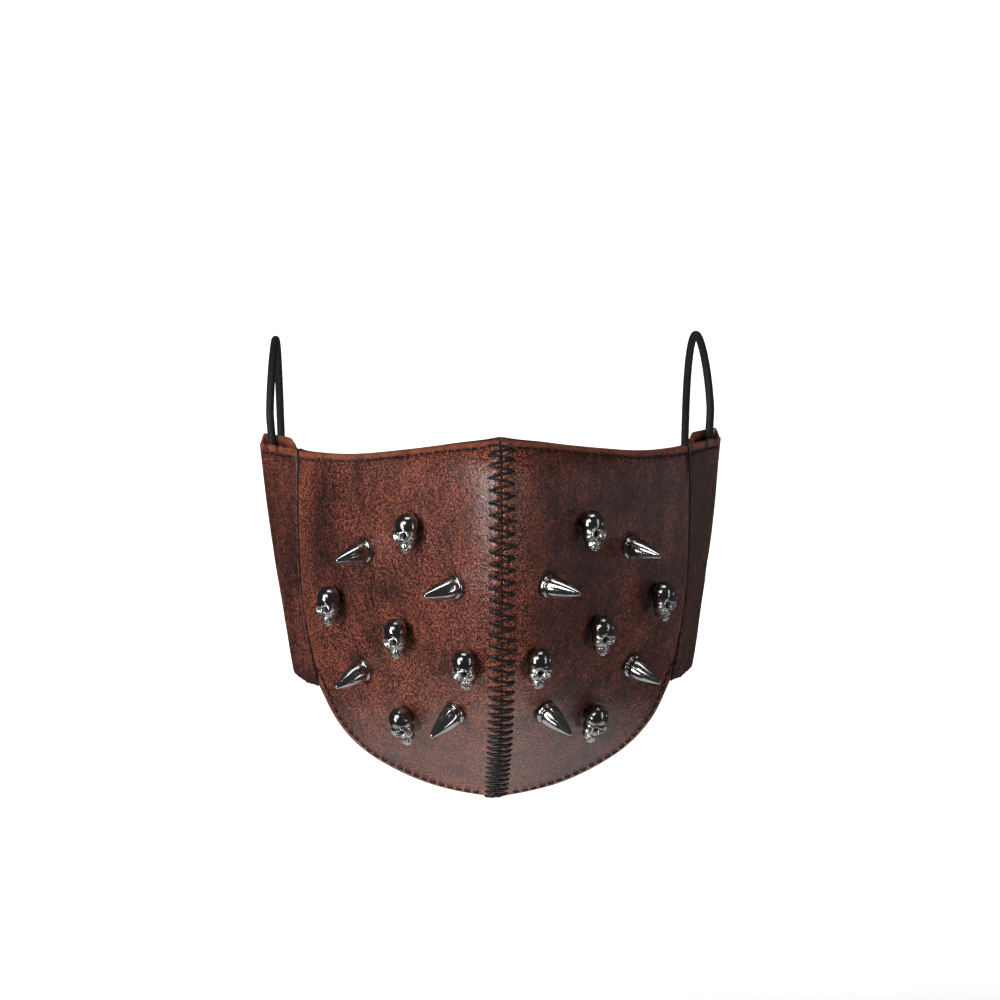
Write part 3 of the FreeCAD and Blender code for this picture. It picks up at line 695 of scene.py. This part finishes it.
def stitch_path(a, b, lift, rise, dive, over, steps=14):
    """A stitch's middle line: it dives into the leather at both ends and lies flat between."""
    t = np.linspace(0, 1, steps)[:, None]
    height = rise - (rise + dive) * np.abs(2 * t - 1) ** 5
    return a + (b - a) * (t * (1 + 2 * over) - over) + lift * height


# A direction that no stitch runs in, and a strand's radius and its distance from the thread's middle line.
ASKEW = (0.31, 0.52, 0.79)
STRAND_RADIUS, STRAND_OFFSET = 0.30, 0.22


def twisted(path, thick, turns, phase):
    """Two strands of a twisted thread along a path."""
    side, up = directions(path, ASKEW)
    strands = []
    for start in (0, math.pi):
        angle = (np.linspace(0, turns * 2 * math.pi, len(path)) + start + phase)[:, None]
        core = path + (side * np.cos(angle) + up * np.sin(angle)) * thick * STRAND_OFFSET
        strands.append(swept(core, np.full((len(path), 1), thick * STRAND_RADIUS), 6, ASKEW))
    return strands


zigzag_stitches = [long_ends(points) for points in islands("centre_seam_thread")]


def sew_centre():
    thick = 0.92 * MM
    parts = []
    for i, (a, b) in enumerate(zigzag_stitches):
        middle = (a + b) / 2
        lift = PANEL.normal(np.array([0.5 * MM]), np.array([middle[2]]))[0] * (0, 1, 1)
        lift /= np.linalg.norm(lift)
        parts += twisted(stitch_path(a, b, lift, 0.12 * MM, 0.95 * MM, 0.06), thick, 1.6, i * 0.7)
    piece = new_object("centre_zigzag_thread", *gathered(parts), THREAD)
    stands_for(piece, FRONT, "centre_seam_thread")


def between_stitches(stitches):
    """The places between each stitch of a row and its neighbours."""
    tree = tree_of_points([end for stitch in stitches for end in stitch])
    places = []
    for i, stitch in enumerate(stitches):
        for end in stitch:
            others = [Vector(near) for near, k, _ in tree.find_n(end, 3) if k // 2 != i]
            places.append((Vector(end) + others[0]) / 2)
    return places


def sew_row(node, dive, cloth="front_panel", body=FRONT):
    """Twisted stitches along a row of CAD ones, dipping into the leather that they lie on."""
    thick, drawn_in = 0.66 * MM, 0.10
    leather_side = tree_of_faces(cloth + node[node.rindex("_"):])
    parts, ends = [], [long_ends(points) for points in islands(node)]
    ends = [(a + (b - a) * drawn_in, b - (b - a) * drawn_in) for a, b in ends]
    for i, (a, b) in enumerate(ends):
        middle = Vector((a + b) / 2)
        lift = np.array((middle - leather_side.find_nearest(middle)[0]).normalized())
        parts += twisted(stitch_path(a, b, lift, 0.04 * MM, dive, 0.02, 10), thick, 1.2, i * 0.9)
    piece = new_object(node.replace("thread", "stitches"), *gathered(parts), THREAD)
    stands_for(piece, body, node)
    return ends


# ---------------------------------------------------------------- studs' places
def stud_frame(node, side):
    """A stud's own axes and place: X across, Y up, Z out of the leather, origin on the leather."""
    points = np.array([v.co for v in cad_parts[node].data.vertices])
    middle = (points.min(0) + points.max(0)) / 2 * (side, 1, 1)
    x, z = middle[0], middle[2]
    for _ in range(40):
        base = PANEL.point(np.array([x]), np.array([z]))[0]
        n = PANEL.normal(np.array([x]), np.array([z]))[0]
        off = middle - base
        off -= n * (off @ n)
        x, z = x + off[0] * 0.7, z + off[2] * 0.7
    base, n = Vector(base * (side, 1, 1)), Vector(n * (side, 1, 1))
    up = (Vector((0, 0, 1)) - n * n.z).normalized()
    across = up.cross(n)
    turn = Matrix((across, up, n)).transposed()
    place = Matrix.Translation(base) @ turn.to_4x4()
    local = (points - np.array(base)) @ np.array(turn)
    return place, local.min(0), local.max(0)


STUDS = {f"{stud}_{side_name}": stud_frame(f"{stud}_{side_name}", side)
         for side_name, side in SIDES.items() for stud in STUD_NAMES}
stud_bases = {side: [place.translation for node, (place, _, _) in STUDS.items() if node.endswith(side)]
              for side in SIDES}


# ---------------------------------------------------------------- leather front panels
LEATHER_THICK, HEM_EXTRA, HEM_WIDTH = 1.3 * MM, 1.2 * MM, 8 * MM
EDGE_ROWS = [0, 0.06, 0.16, 0.3, 0.5, 0.75, 1.05, 1.4, 1.8, 2.2, 2.5, 2.8, 3.1, 3.4, 3.7, 4.1, 4.6]
SEAM_SIDE_ROWS = [0, 0.05, 0.14, 0.28, 0.45, 0.7]
# A front panel's nominal width and its columns' spacing, in mm.
ACROSS, FINE_STEP, PLAIN_STEP = 105.0, 0.32, 0.85
PANEL_ROWS = 268


def panel_columns():
    """Distances from the ridge to a grid's columns, close together at both ends."""
    fine = np.arange(0.95, 5.6, FINE_STEP)
    plain = np.arange(fine[-1] + PLAIN_STEP, ACROSS - 1.0, PLAIN_STEP)
    return np.concatenate([SEAM_SIDE_ROWS, fine, plain, [ACROSS - s for s in reversed(SEAM_SIDE_ROWS)]])


def spots_near(points, places):
    """How much each of a few soft-edged places on the leather, (x, z, half width, half height), covers."""
    cover = np.zeros(points.shape[:-1])
    for x, z, wide, high, strength in places:
        far = ((points[..., 0] / MM - x) / wide) ** 2 + ((points[..., 2] / MM - z) / high) ** 2
        cover = np.maximum(cover, strength * np.exp(-far))
    return cover


def set_values(piece, **values):
    for name, value in values.items():
        layer = piece.data.attributes.new(name, "FLOAT", "POINT")
        layer.data.foreach_set("value", np.clip(np.asarray(value), 0, 1).ravel())


# Where the leather was left darkest when it was waxed and rubbed: (x, z, half width, half height, strength).
DARK_PLACES = [(-58, -4, 5.0, 22, 0.95), (-37, -28, 8, 8, 0.6), (-18, -14, 3.2, 10, 0.5),
               (-17, -52, 7, 10, 0.5), (42, 0, 17, 12, 0.85), (52, -26, 10, 14, 0.65), (15, -38, 8, 8, 0.8),
               (24, -63, 13, 9, 0.55), (52, -54, 10, 11, 0.6)]
# Painted shade: how dark each half is painted all over, and how dark each casing is; the side turned from
# the key light is painted darker.
PAINTED_HALF_SHADE = {1: 0.48, -1: 0.14}
PAINTED_CASING_SHADE = {1: 0.80, -1: 0.45}
# Heights and depths of the leather's relief: beside the zigzag lacing, along the rims and round the studs.
BEAD, LACE_GROOVE, LACE_HOLE, LACE_LIP = 0.50 * MM, 0.34 * MM, 0.35 * MM, 0.42 * MM
RIM_ROLL, STITCH_GROOVE, STITCH_PUFF = 0.20 * MM, 0.30 * MM, 0.22 * MM
STUD_RING, STUD_DENT = 0.16 * MM, 0.25 * MM


def make_front_panels():
    x, z = PANEL.grid(panel_columns(), ACROSS, EDGE_ROWS, PANEL_ROWS)
    face, out = PANEL.point(x, z), PANEL.normal(x, z)
    face[..., 0] -= PANEL.low.x
    from_top, from_bottom = run_from(face, 1), run_from(face, 1, True)
    from_ridge, from_seam = run_from(face, 0), run_from(face, 0, True)
    from_rim = np.minimum(from_top, from_bottom)
    thick = LEATHER_THICK + HEM_EXTRA * (1 - eased(from_rim, HEM_WIDTH, HEM_WIDTH + 2.5 * MM))
    sink = np.maximum.reduce([round_off(d, thick / 2) for d in (from_top, from_bottom, from_seam)])
    sink = np.maximum(sink, round_off(from_ridge, thick / 5))
    zigzag_line = line_through(zigzag_stitches, 9)
    zigzag_holes = np.concatenate([np.array(pair) for pair in zigzag_stitches])
    for side_name, side in SIDES.items():
        mirror = np.array((side, 1, 1))
        here, normal = face * mirror, out * mirror
        rows = [sew_row(f"{node}_thread_{side_name}", 0.42 * MM) for node in ("top_edge", "bottom_edge")]
        pressed, _ = nearness(here, line_through(sum(rows, []), 6), 0.48 * MM)
        puffed, _ = nearness(here, between_stitches(rows[0]) + between_stitches(rows[1]), 0.75 * MM)
        laced, _ = nearness(here, zigzag_line, 0.62 * MM)
        pierced, _ = nearness(here, zigzag_holes, 0.62 * MM)
        _, stud_far = nearness(here, stud_bases[side_name], 1 * MM)
        bead = hump(from_ridge, 2.3, 1.7) * eased(from_rim, 0.4 * MM, 3.5 * MM)
        relief = BEAD * bead * (1 - laced) - LACE_GROOVE * laced - LACE_HOLE * pierced
        relief += LACE_LIP * hump(from_ridge, 0.8, 1.1) * (1 - laced)
        relief += RIM_ROLL * hump(from_rim, 1.7, 1.1) - STITCH_GROOVE * pressed
        relief += STITCH_PUFF * puffed * (1 - pressed)
        relief += STUD_RING * hump(stud_far, 5.6, 1.3) - STUD_DENT * hump(stud_far, 0, 4.4, 4)
        relief += waves(here, 19 * MM, 0.24 * MM, side) + waves(here, 6.5 * MM, 0.07 * MM, side + 5)
        fade = eased(np.minimum(from_rim, from_seam), 0, 0.6 * MM) * eased(from_ridge, 0, 0.5 * MM)
        outer = here + normal * (relief * fade - sink)[..., None]
        inner = here - normal * (thick - sink)[..., None]
        points, faces, used = sheet_mesh(outer, inner, side > 0)
        piece = new_object(f"leather_front_{side_name}", points, faces, LEATHER)
        band = 1 - eased(from_rim, 2.3 * MM, 3.1 * MM)
        band = np.maximum(band, 0.75 * hump(from_seam, 0, 1.2))
        # edge: a dark line along the leather's cut edges and the butt joint, and painted shade in the stitch
        # grooves, along the zigzag lacing and in a ring round each stud's base.
        edge, butt = hump(np.minimum(from_rim, from_seam), 0, 0.42), hump(from_ridge, 0, 0.2)
        shade_round_studs = hump(np.maximum(stud_far - 3.6 * MM, 0), 0, 1.1)
        edge = np.maximum.reduce([edge, 0.35 * pressed * (1 - puffed), 0.6 * laced, 0.4 * butt,
                                  0.6 * shade_round_studs])
        # Painted shade: the whole half is painted darker, fading out towards the ridge.
        all_over = PAINTED_HALF_SHADE[side] * (0.1 + 0.9 * eased(from_ridge, 5 * MM, 26 * MM))
        dark = np.maximum(spots_near(here, DARK_PLACES), all_over)
        polish = hump(from_ridge, 0, 9, 4)
        set_values(piece, **{name: np.concatenate([value.ravel()] * 2)[used] for name, value in
                             (("rim", band), ("edge", edge), ("dark", dark), ("polish", polish))})
        stands_for(piece, FRONT, f"front_panel_{side_name}")


# ---------------------------------------------------------------- foam and lining
FOAM_THICK, CLOTH_THICK = 1.3 * MM, 0.55 * MM


def inner_layer(kind, name, thick, wide, puff, material):
    """The two halves of a layer behind the leather, worked out from the CAD layer's inner face."""
    skin = Skin(f"{kind}_left", -1)
    last = [wide - short for short in (0.35, 0.15, 0.05, 0)]
    columns = [0, 0.05, 0.15, 0.35] + list(np.arange(1.2, wide - 1, 1.0)) + last
    x, z = skin.grid(columns, wide, [0, 0.05, 0.15, 0.35, 0.9], 120)
    face, out = skin.point(x, z), skin.normal(x, z)
    if skin.low.x < 0.5 * MM:
        face[..., 0] -= skin.low.x
    ends = [run_from(face, axis, reverse) for axis in (0, 1) for reverse in (False, True)]
    sink = np.maximum.reduce([round_off(d, thick / 2) for d in ends])
    nearest = np.minimum.reduce(ends)
    pieces = {}
    for side_name, side in SIDES.items():
        mirror = np.array((side, 1, 1))
        here, normal = face * mirror, out * mirror
        swell = waves(here, 11 * MM, puff, side + 9) + waves(here, 4 * MM, 0.3 * puff, side + 3)
        swell += puff * eased(nearest, 0.4 * MM, 3 * MM) - 0.8 * puff
        outer = here + normal * (swell * eased(nearest, 0, 1 * MM) - sink)[..., None]
        inner = here - normal * (thick - sink)[..., None]
        points, faces, _ = sheet_mesh(outer, inner, side < 0)
        piece = new_object(f"{name}_{side_name}", points, faces, material)
        stands_for(piece, FRONT, f"{kind}_{side_name}")
        pieces[side_name] = piece
    return pieces


def make_inner_layers():
    foams = inner_layer("foam_layer", "foam_backing", FOAM_THICK, 84.0, 0.06 * MM, FOAM)
    linings = inner_layer("lining", "cloth_lining", CLOTH_THICK, 96.0, 0.25 * MM, LINING)


# ---------------------------------------------------------------- side casings
# The casing's outer lower corner hangs this far past the CAD one, over the elastic that turns under it.
HEM_DROP = 1.8 * MM
CASING_VOXEL, CASING_GROOVE = 0.4 * MM, 0.3 * MM


def make_casings():
    for side_name, side in SIDES.items():
        node, body = f"side_panel_{side_name}", f"{side_name}_casing"
        bm = welded(node)
        mesh = bpy.data.meshes.new(f"leather_casing_{side_name}")
        bm.to_mesh(mesh)
        bm.free()
        piece = linked(mesh.name, mesh)
        remesh = piece.modifiers.new("even", "REMESH")
        remesh.mode, remesh.voxel_size = "VOXEL", CASING_VOXEL
        soften = piece.modifiers.new("soften", "SMOOTH")
        soften.factor, soften.iterations = 0.5, 5
        made = evaluated(piece)
        piece.modifiers.clear()
        piece.data = made
        made.name = piece.name
        count = len(made.vertices)
        co, normals = np.zeros(count * 3), np.zeros(count * 3)
        made.vertices.foreach_get("co", co)
        made.vertices.foreach_get("normal", normals)
        co, normals = co.reshape(-1, 3), normals.reshape(-1, 3)
        swell = waves(co, 14 * MM, 0.16 * MM, side + 21) + waves(co, 5 * MM, 0.06 * MM, side + 2)
        co += normals * swell[:, None]
        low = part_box(node)[0].z
        outer_share = 0.25 + 0.75 * eased(np.abs(co[:, 0]), 60.5 * MM, 64.5 * MM)
        co[:, 2] -= HEM_DROP * outer_share * (1 - eased(co[:, 2] - low, 8 * MM, 24 * MM))
        made.shade_smooth()
        made.materials.append(LEATHER)
        mouth = [p.center for p in mesh.polygons if p.normal.z > 0.5 and p.center.z > 15 * MM]
        skived = [v.co for v in mesh.vertices if PANEL.seam_distance(v.co) < 1.6 * MM]
        _, from_mouth = nearness(co, mouth, 1 * MM)
        _, from_edge = nearness(co, skived, 1 * MM)
        stitches = [long_ends(points) for points in islands(f"casing_thread_{side_name}")]
        sewn, _ = nearness(co, line_through(stitches, 6), 0.48 * MM)
        co -= normals * (CASING_GROOVE * sewn)[:, None]
        made.vertices.foreach_set("co", co.ravel())
        set_values(piece, rim=1 - eased(from_mouth, 2.2 * MM, 3.0 * MM),
                   # edge: painted shade in the stitch grooves, and painted shadow beside the front panel's
                   # overlapping edge.
                   edge=np.maximum(0.25 * sewn, 0.75 * hump(from_edge, 0, 0.9)),
                   # dark: the stains and the casing's painted shade.
                   dark=np.maximum(spots_near(co, DARK_PLACES), PAINTED_CASING_SHADE[side]), polish=np.zeros(count))
        sew_row(f"casing_thread_{side_name}", 0.35 * MM, "side_panel", body)
        stands_for(piece, body, node)


WELT_OVER_PANEL, WELT_OVER_CASING = 1.6 * MM, 1.1 * MM
WELT_TOP, WELT_BOTTOM = 0.50 * MM, 1.05 * MM


def make_seam_welts():
    """The turned-in leather at the bottom of each side seam."""
    x, z = PANEL.seam(np.linspace(0, 1, 160))
    seam, out = PANEL.point(x, z), PANEL.normal(x, z)
    across = np.linspace(0, 1, 9)[None, :, None]
    for side_name, side in SIDES.items():
        here, normal = seam * (side, 1, 1), out * (side, 1, 1)
        casing = tree_of_faces(f"side_panel_{side_name}")
        far = np.array([casing.find_nearest(Vector(p))[0] for p in here])
        way = (far - here) / np.linalg.norm(far - here, axis=1)[:, None]
        near, far = here - way * WELT_OVER_PANEL, far + way * WELT_OVER_CASING
        middle = near[:, None] + (far - near)[:, None] * across
        top, bottom = (middle - normal[:, None] * deep for deep in (WELT_TOP, WELT_BOTTOM))
        points, faces, _ = sheet_mesh(top, bottom, False)
        piece = new_object(f"seam_welt_{side_name}", points, faces, LEATHER)
        nothing, all_over = np.zeros(len(points)), np.ones(len(points))
        # Painted shade: the welt lies in the seam's shadow and is painted dark all over.
        set_values(piece, rim=nothing, edge=0.75 * all_over, dark=all_over, polish=nothing)
        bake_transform(piece)


# ---------------------------------------------------------------- elastic ear loops
# The left loop's control points in mm, from its sleeve in the casing over and behind the ear and back.
EAR_LOOP = [(71.414, -6.028, -8.2), (75.757, -7.987, 26.0), (75.4, -5.4, 37.8), (74.7, 1.0, 47.8),
            (74.0, 11.4, 54.8), (73.5, 24.0, 58.0), (73.1, 37.2, 56.2), (72.8, 48.9, 49.8),
            (72.5, 57.2, 39.2), (72.2, 61.4, 26.4), (71.8, 62.6, 12.8), (71.2, 61.0, 0.4),
            (70.2, 55.5, -14.0), (68.1, 29.2, -37.0), (65.19, 4.2, -56.8), (64.877, 1.109, -58.6),
            (65.142, -3.2, -57.588), (65.68, -3.44, -53.0), (71.363, -6.005, -8.6)]
CORD_THICK = 2.8 * MM
BRAID_STRANDS, BRAID_LAY, BRAID_DEEP = 12, 5.0 * MM, 0.035


def loop_route(side):
    """Points along the elastic's smooth middle line."""
    curve = bpy.data.curves.new("route", "CURVE")
    curve.dimensions = "3D"
    curve.resolution_u = 24
    spline = curve.splines.new("NURBS")
    spline.points.add(len(EAR_LOOP) - 1)
    for control, (x, y, z) in zip(spline.points, EAR_LOOP):
        control.co = (x * MM * side, y * MM, z * MM, 1)
    spline.order_u = 3
    spline.use_endpoint_u = True
    guide = linked("route", curve)
    points = np.array([v.co for v in evaluated(guide).vertices])
    bpy.data.objects.remove(guide)
    return points


def evenly_spaced(points, step):
    run = run_along(points)
    at = np.linspace(0, run[-1], int(run[-1] / step) + 1)
    return np.stack([np.interp(at, run, points[:, k]) for k in range(3)], 1), at


def make_ear_loops():
    around = 24
    for side_name, side in SIDES.items():
        path, run = evenly_spaced(loop_route(side), 0.3 * MM)
        angle = BRAID_STRANDS / 2 * (np.arange(around) / around * 2 * np.pi)[None]
        lay = run[:, None] / BRAID_LAY * 2 * np.pi
        braid = np.maximum(np.sin(angle + lay), np.sin(angle - lay))
        radius = CORD_THICK / 2 * (1 - BRAID_DEEP + BRAID_DEEP * braid)
        tube = swept(path, radius, around, (side, 0.0, 0.0))
        piece = new_object(f"elastic_ear_loop_{side_name}", *tube, ELASTIC)
        stands_for(piece, f"{side_name}_ear_loop", f"ear_loop_{side_name}")


# ---------------------------------------------------------------- spikes and skulls
# A spike's collar, neck and cone: (share of its radius, share of its length).
SPIKE_PROFILE = [(1.0, 0.012), (1.0, 0.062), (0.97, 0.075), (0.86, 0.078), (0.82, 0.085), (0.82, 0.105),
                 (0.86, 0.114), (0.915, 0.125), (0.95, 0.15), (0.955, 0.19), (0.935, 0.235), (0.80, 0.42),
                 (0.575, 0.64), (0.345, 0.84), (0.185, 0.960), (0.14, 0.983), (0.07, 0.996)]
# How far each pair of spikes leans from square to the leather, in degrees: outwards and down.
SPIKE_LEAN = {"nose": (10, 0), "cheek": (1, 5), "jaw": (4, 8), "chin": (8, -2)}


def make_spikes():
    around, root = 72, 0.9 * MM
    for node, (place, low, high) in STUDS.items():
        if not node.startswith("spike"):
            continue
        radius, length = (high[0] - low[0]) / 2, high[2]
        angles = np.arange(around) / around * 2 * np.pi
        heights = [-root] + [h * length for _, h in SPIKE_PROFILE]
        widths = [r * radius for r, _ in SPIKE_PROFILE]
        rings = [np.stack([np.cos(angles) * r, np.sin(angles) * r, np.full(around, h)], 1)
                 for r, h in zip(widths[:1] + widths, heights)]
        points = np.concatenate(rings + [[[0, 0, -root]], [[0, 0, length]]])
        piece = new_object(f"cone_{node}", points, tube_faces(len(rings), around), SPIKE_METAL)
        _, name, side_name = node.split("_")
        outwards, down = (math.radians(a) for a in SPIKE_LEAN[name])
        lean = Matrix.Rotation(outwards * SIDES[side_name], 4, "Y") @ Matrix.Rotation(down, 4, "X")
        piece.matrix_world = place @ lean
        stands_for(piece, FRONT, node)


def blob(p, centre, radii):
    """Distance, roughly, to an ellipsoid."""
    q = (p - centre) / radii
    far = np.linalg.norm(q, axis=1)
    return far * (far - 1) / np.maximum(np.linalg.norm(q / radii, axis=1), 1e-9)


def rod(p, a, b, radius):
    a, b = np.array(a), np.array(b)
    t = np.clip((p - a) @ (b - a) / ((b - a) @ (b - a)), 0, 1)[:, None]
    return np.linalg.norm(p - a - t * (b - a), axis=1) - radius


def melted(a, b, soft):
    """Two distances joined with a soft fillet."""
    t = np.clip(0.5 + 0.5 * (b - a) / soft, 0, 1)
    return b + (a - b) * t - soft * t * (1 - t)


def carved(a, b, soft):
    """A distance with another's inside taken away."""
    return -melted(-a, b, soft)


def ring(p, centre, across, radius):
    """Distance to a ring that faces out of the leather."""
    q = p - centre
    return np.hypot(np.hypot(q[:, 0], q[:, 1]) - across, q[:, 2]) - radius


def skull_distance(p):
    """A small cast skull, 8.6 x 13 x 8.4 mm: X across, Y up, Z out of the leather."""
    p = np.abs(p * (1, 0, 0)) + p * (0, 1, 1)
    d = blob(p, (0, 2.3, 3.5), (4.05, 4.2, 4.0))
    d = melted(d, blob(p, (0, -1.3, 4.1), (3.5, 3.4, 3.4)), 0.6)
    d = melted(d, blob(p, (0, -4.5, 4.4), (2.25, 2.0, 2.9)), 0.4)
    d = melted(d, blob(p, (3.15, -1.95, 5.2), (1.15, 0.95, 1.7)), 0.35)
    d = melted(d, rod(p, (1.9, 0.75, 7.0), (0.3, 0.45, 7.6), 0.5), 0.4)
    d = carved(d, blob(p, (4.7, 0.1, 5.2), (0.9, 1.2, 1.9)), 0.4)
    d = carved(d, blob(p, (3.3, -4.3, 5.8), (1.15, 1.35, 2.2)), 0.35)
    d = melted(d, ring(p, (1.70, -0.75, 6.75), 1.42, 0.42), 0.25)
    d = carved(d, blob(p, (1.72, -0.75, 7.4), (1.22, 1.12, 2.3)), 0.18)
    d = melted(d, rod(p, (0, -0.4, 7.35), (0, -1.7, 7.9), 0.40), 0.25)
    d = carved(d, blob(p, (0.42, -2.65, 7.9), (0.36, 0.66, 1.3)), 0.12)
    for tooth in (0.30, 0.90, 1.48):
        back = 6.95 - 0.22 * tooth ** 2
        d = melted(d, rod(p, (tooth, -3.85, back), (tooth, -4.35, back), 0.31), 0.05)
        d = melted(d, rod(p, (tooth, -5.15, back - 0.15), (tooth, -5.5, back - 0.15), 0.29), 0.05)
    d = carved(d, blob(p, (0, -4.75, 7.6), (1.9, 0.20, 1.5)), 0.06)
    d = melted(d, rod(p, (1.3, -6.0, 5.8), (0, -6.15, 6.3), 0.45), 0.25)
    return np.maximum(d, -p[:, 2])


# Each point of a ball moves in to the skull's surface, in steps of a share of the distance left.
SKULL_STEPS, SKULL_STEP = 90, 0.6


def cast_skull():
    """The mesh that every skull stud shares."""
    bm = bmesh.new()
    bmesh.ops.create_icosphere(bm, subdivisions=6, radius=1)
    mesh = bpy.data.meshes.new("cast_skull")
    bm.to_mesh(mesh)
    bm.free()
    ways = np.array([v.co for v in mesh.vertices]) + (0, -0.1, 0.42)
    ways /= np.linalg.norm(ways, axis=1)[:, None]
    heart = np.array((0, -0.4, 3.4))
    reach = np.full(len(ways), 12.0)
    for _ in range(SKULL_STEPS):
        reach -= SKULL_STEP * skull_distance(heart + ways * reach[:, None])
    points = heart + ways * reach[:, None]
    mesh.vertices.foreach_set("co", (points * MM).ravel())
    mesh.update()
    mesh.shade_smooth()
    mesh.materials.append(SKULL_METAL)
    face = eased(-points[:, 1], -1.3, -0.3) * eased(points[:, 2], 2.5, 5.5)
    mesh.attributes.new("face", "FLOAT", "POINT").data.foreach_set("value", face)
    return mesh


def make_skulls():
    mesh = cast_skull()
    for node, (place, _, _) in STUDS.items():
        if node.startswith("skull"):
            piece = linked(f"cast_{node}", mesh)
            piece.matrix_world = place
            stands_for(piece, FRONT, node)


def keep_cad_nodes():
    """The hidden hardware keeps its CAD shape and gets its finish."""
    for side_name in SIDES:
        for node in ("spike_screws", "skull_screws", "ear_loop_sleeve"):
            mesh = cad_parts[f"{node}_{side_name}"].data
            mesh.materials.clear()
            mesh.materials.append(STEEL)


sew_centre()
make_front_panels()
for side_name in SIDES:
    sew_row(f"side_seam_thread_{side_name}", 0.2 * MM)
make_inner_layers()
make_casings()
make_seam_welts()
make_ear_loops()
make_spikes()
make_skulls()
keep_cad_nodes()
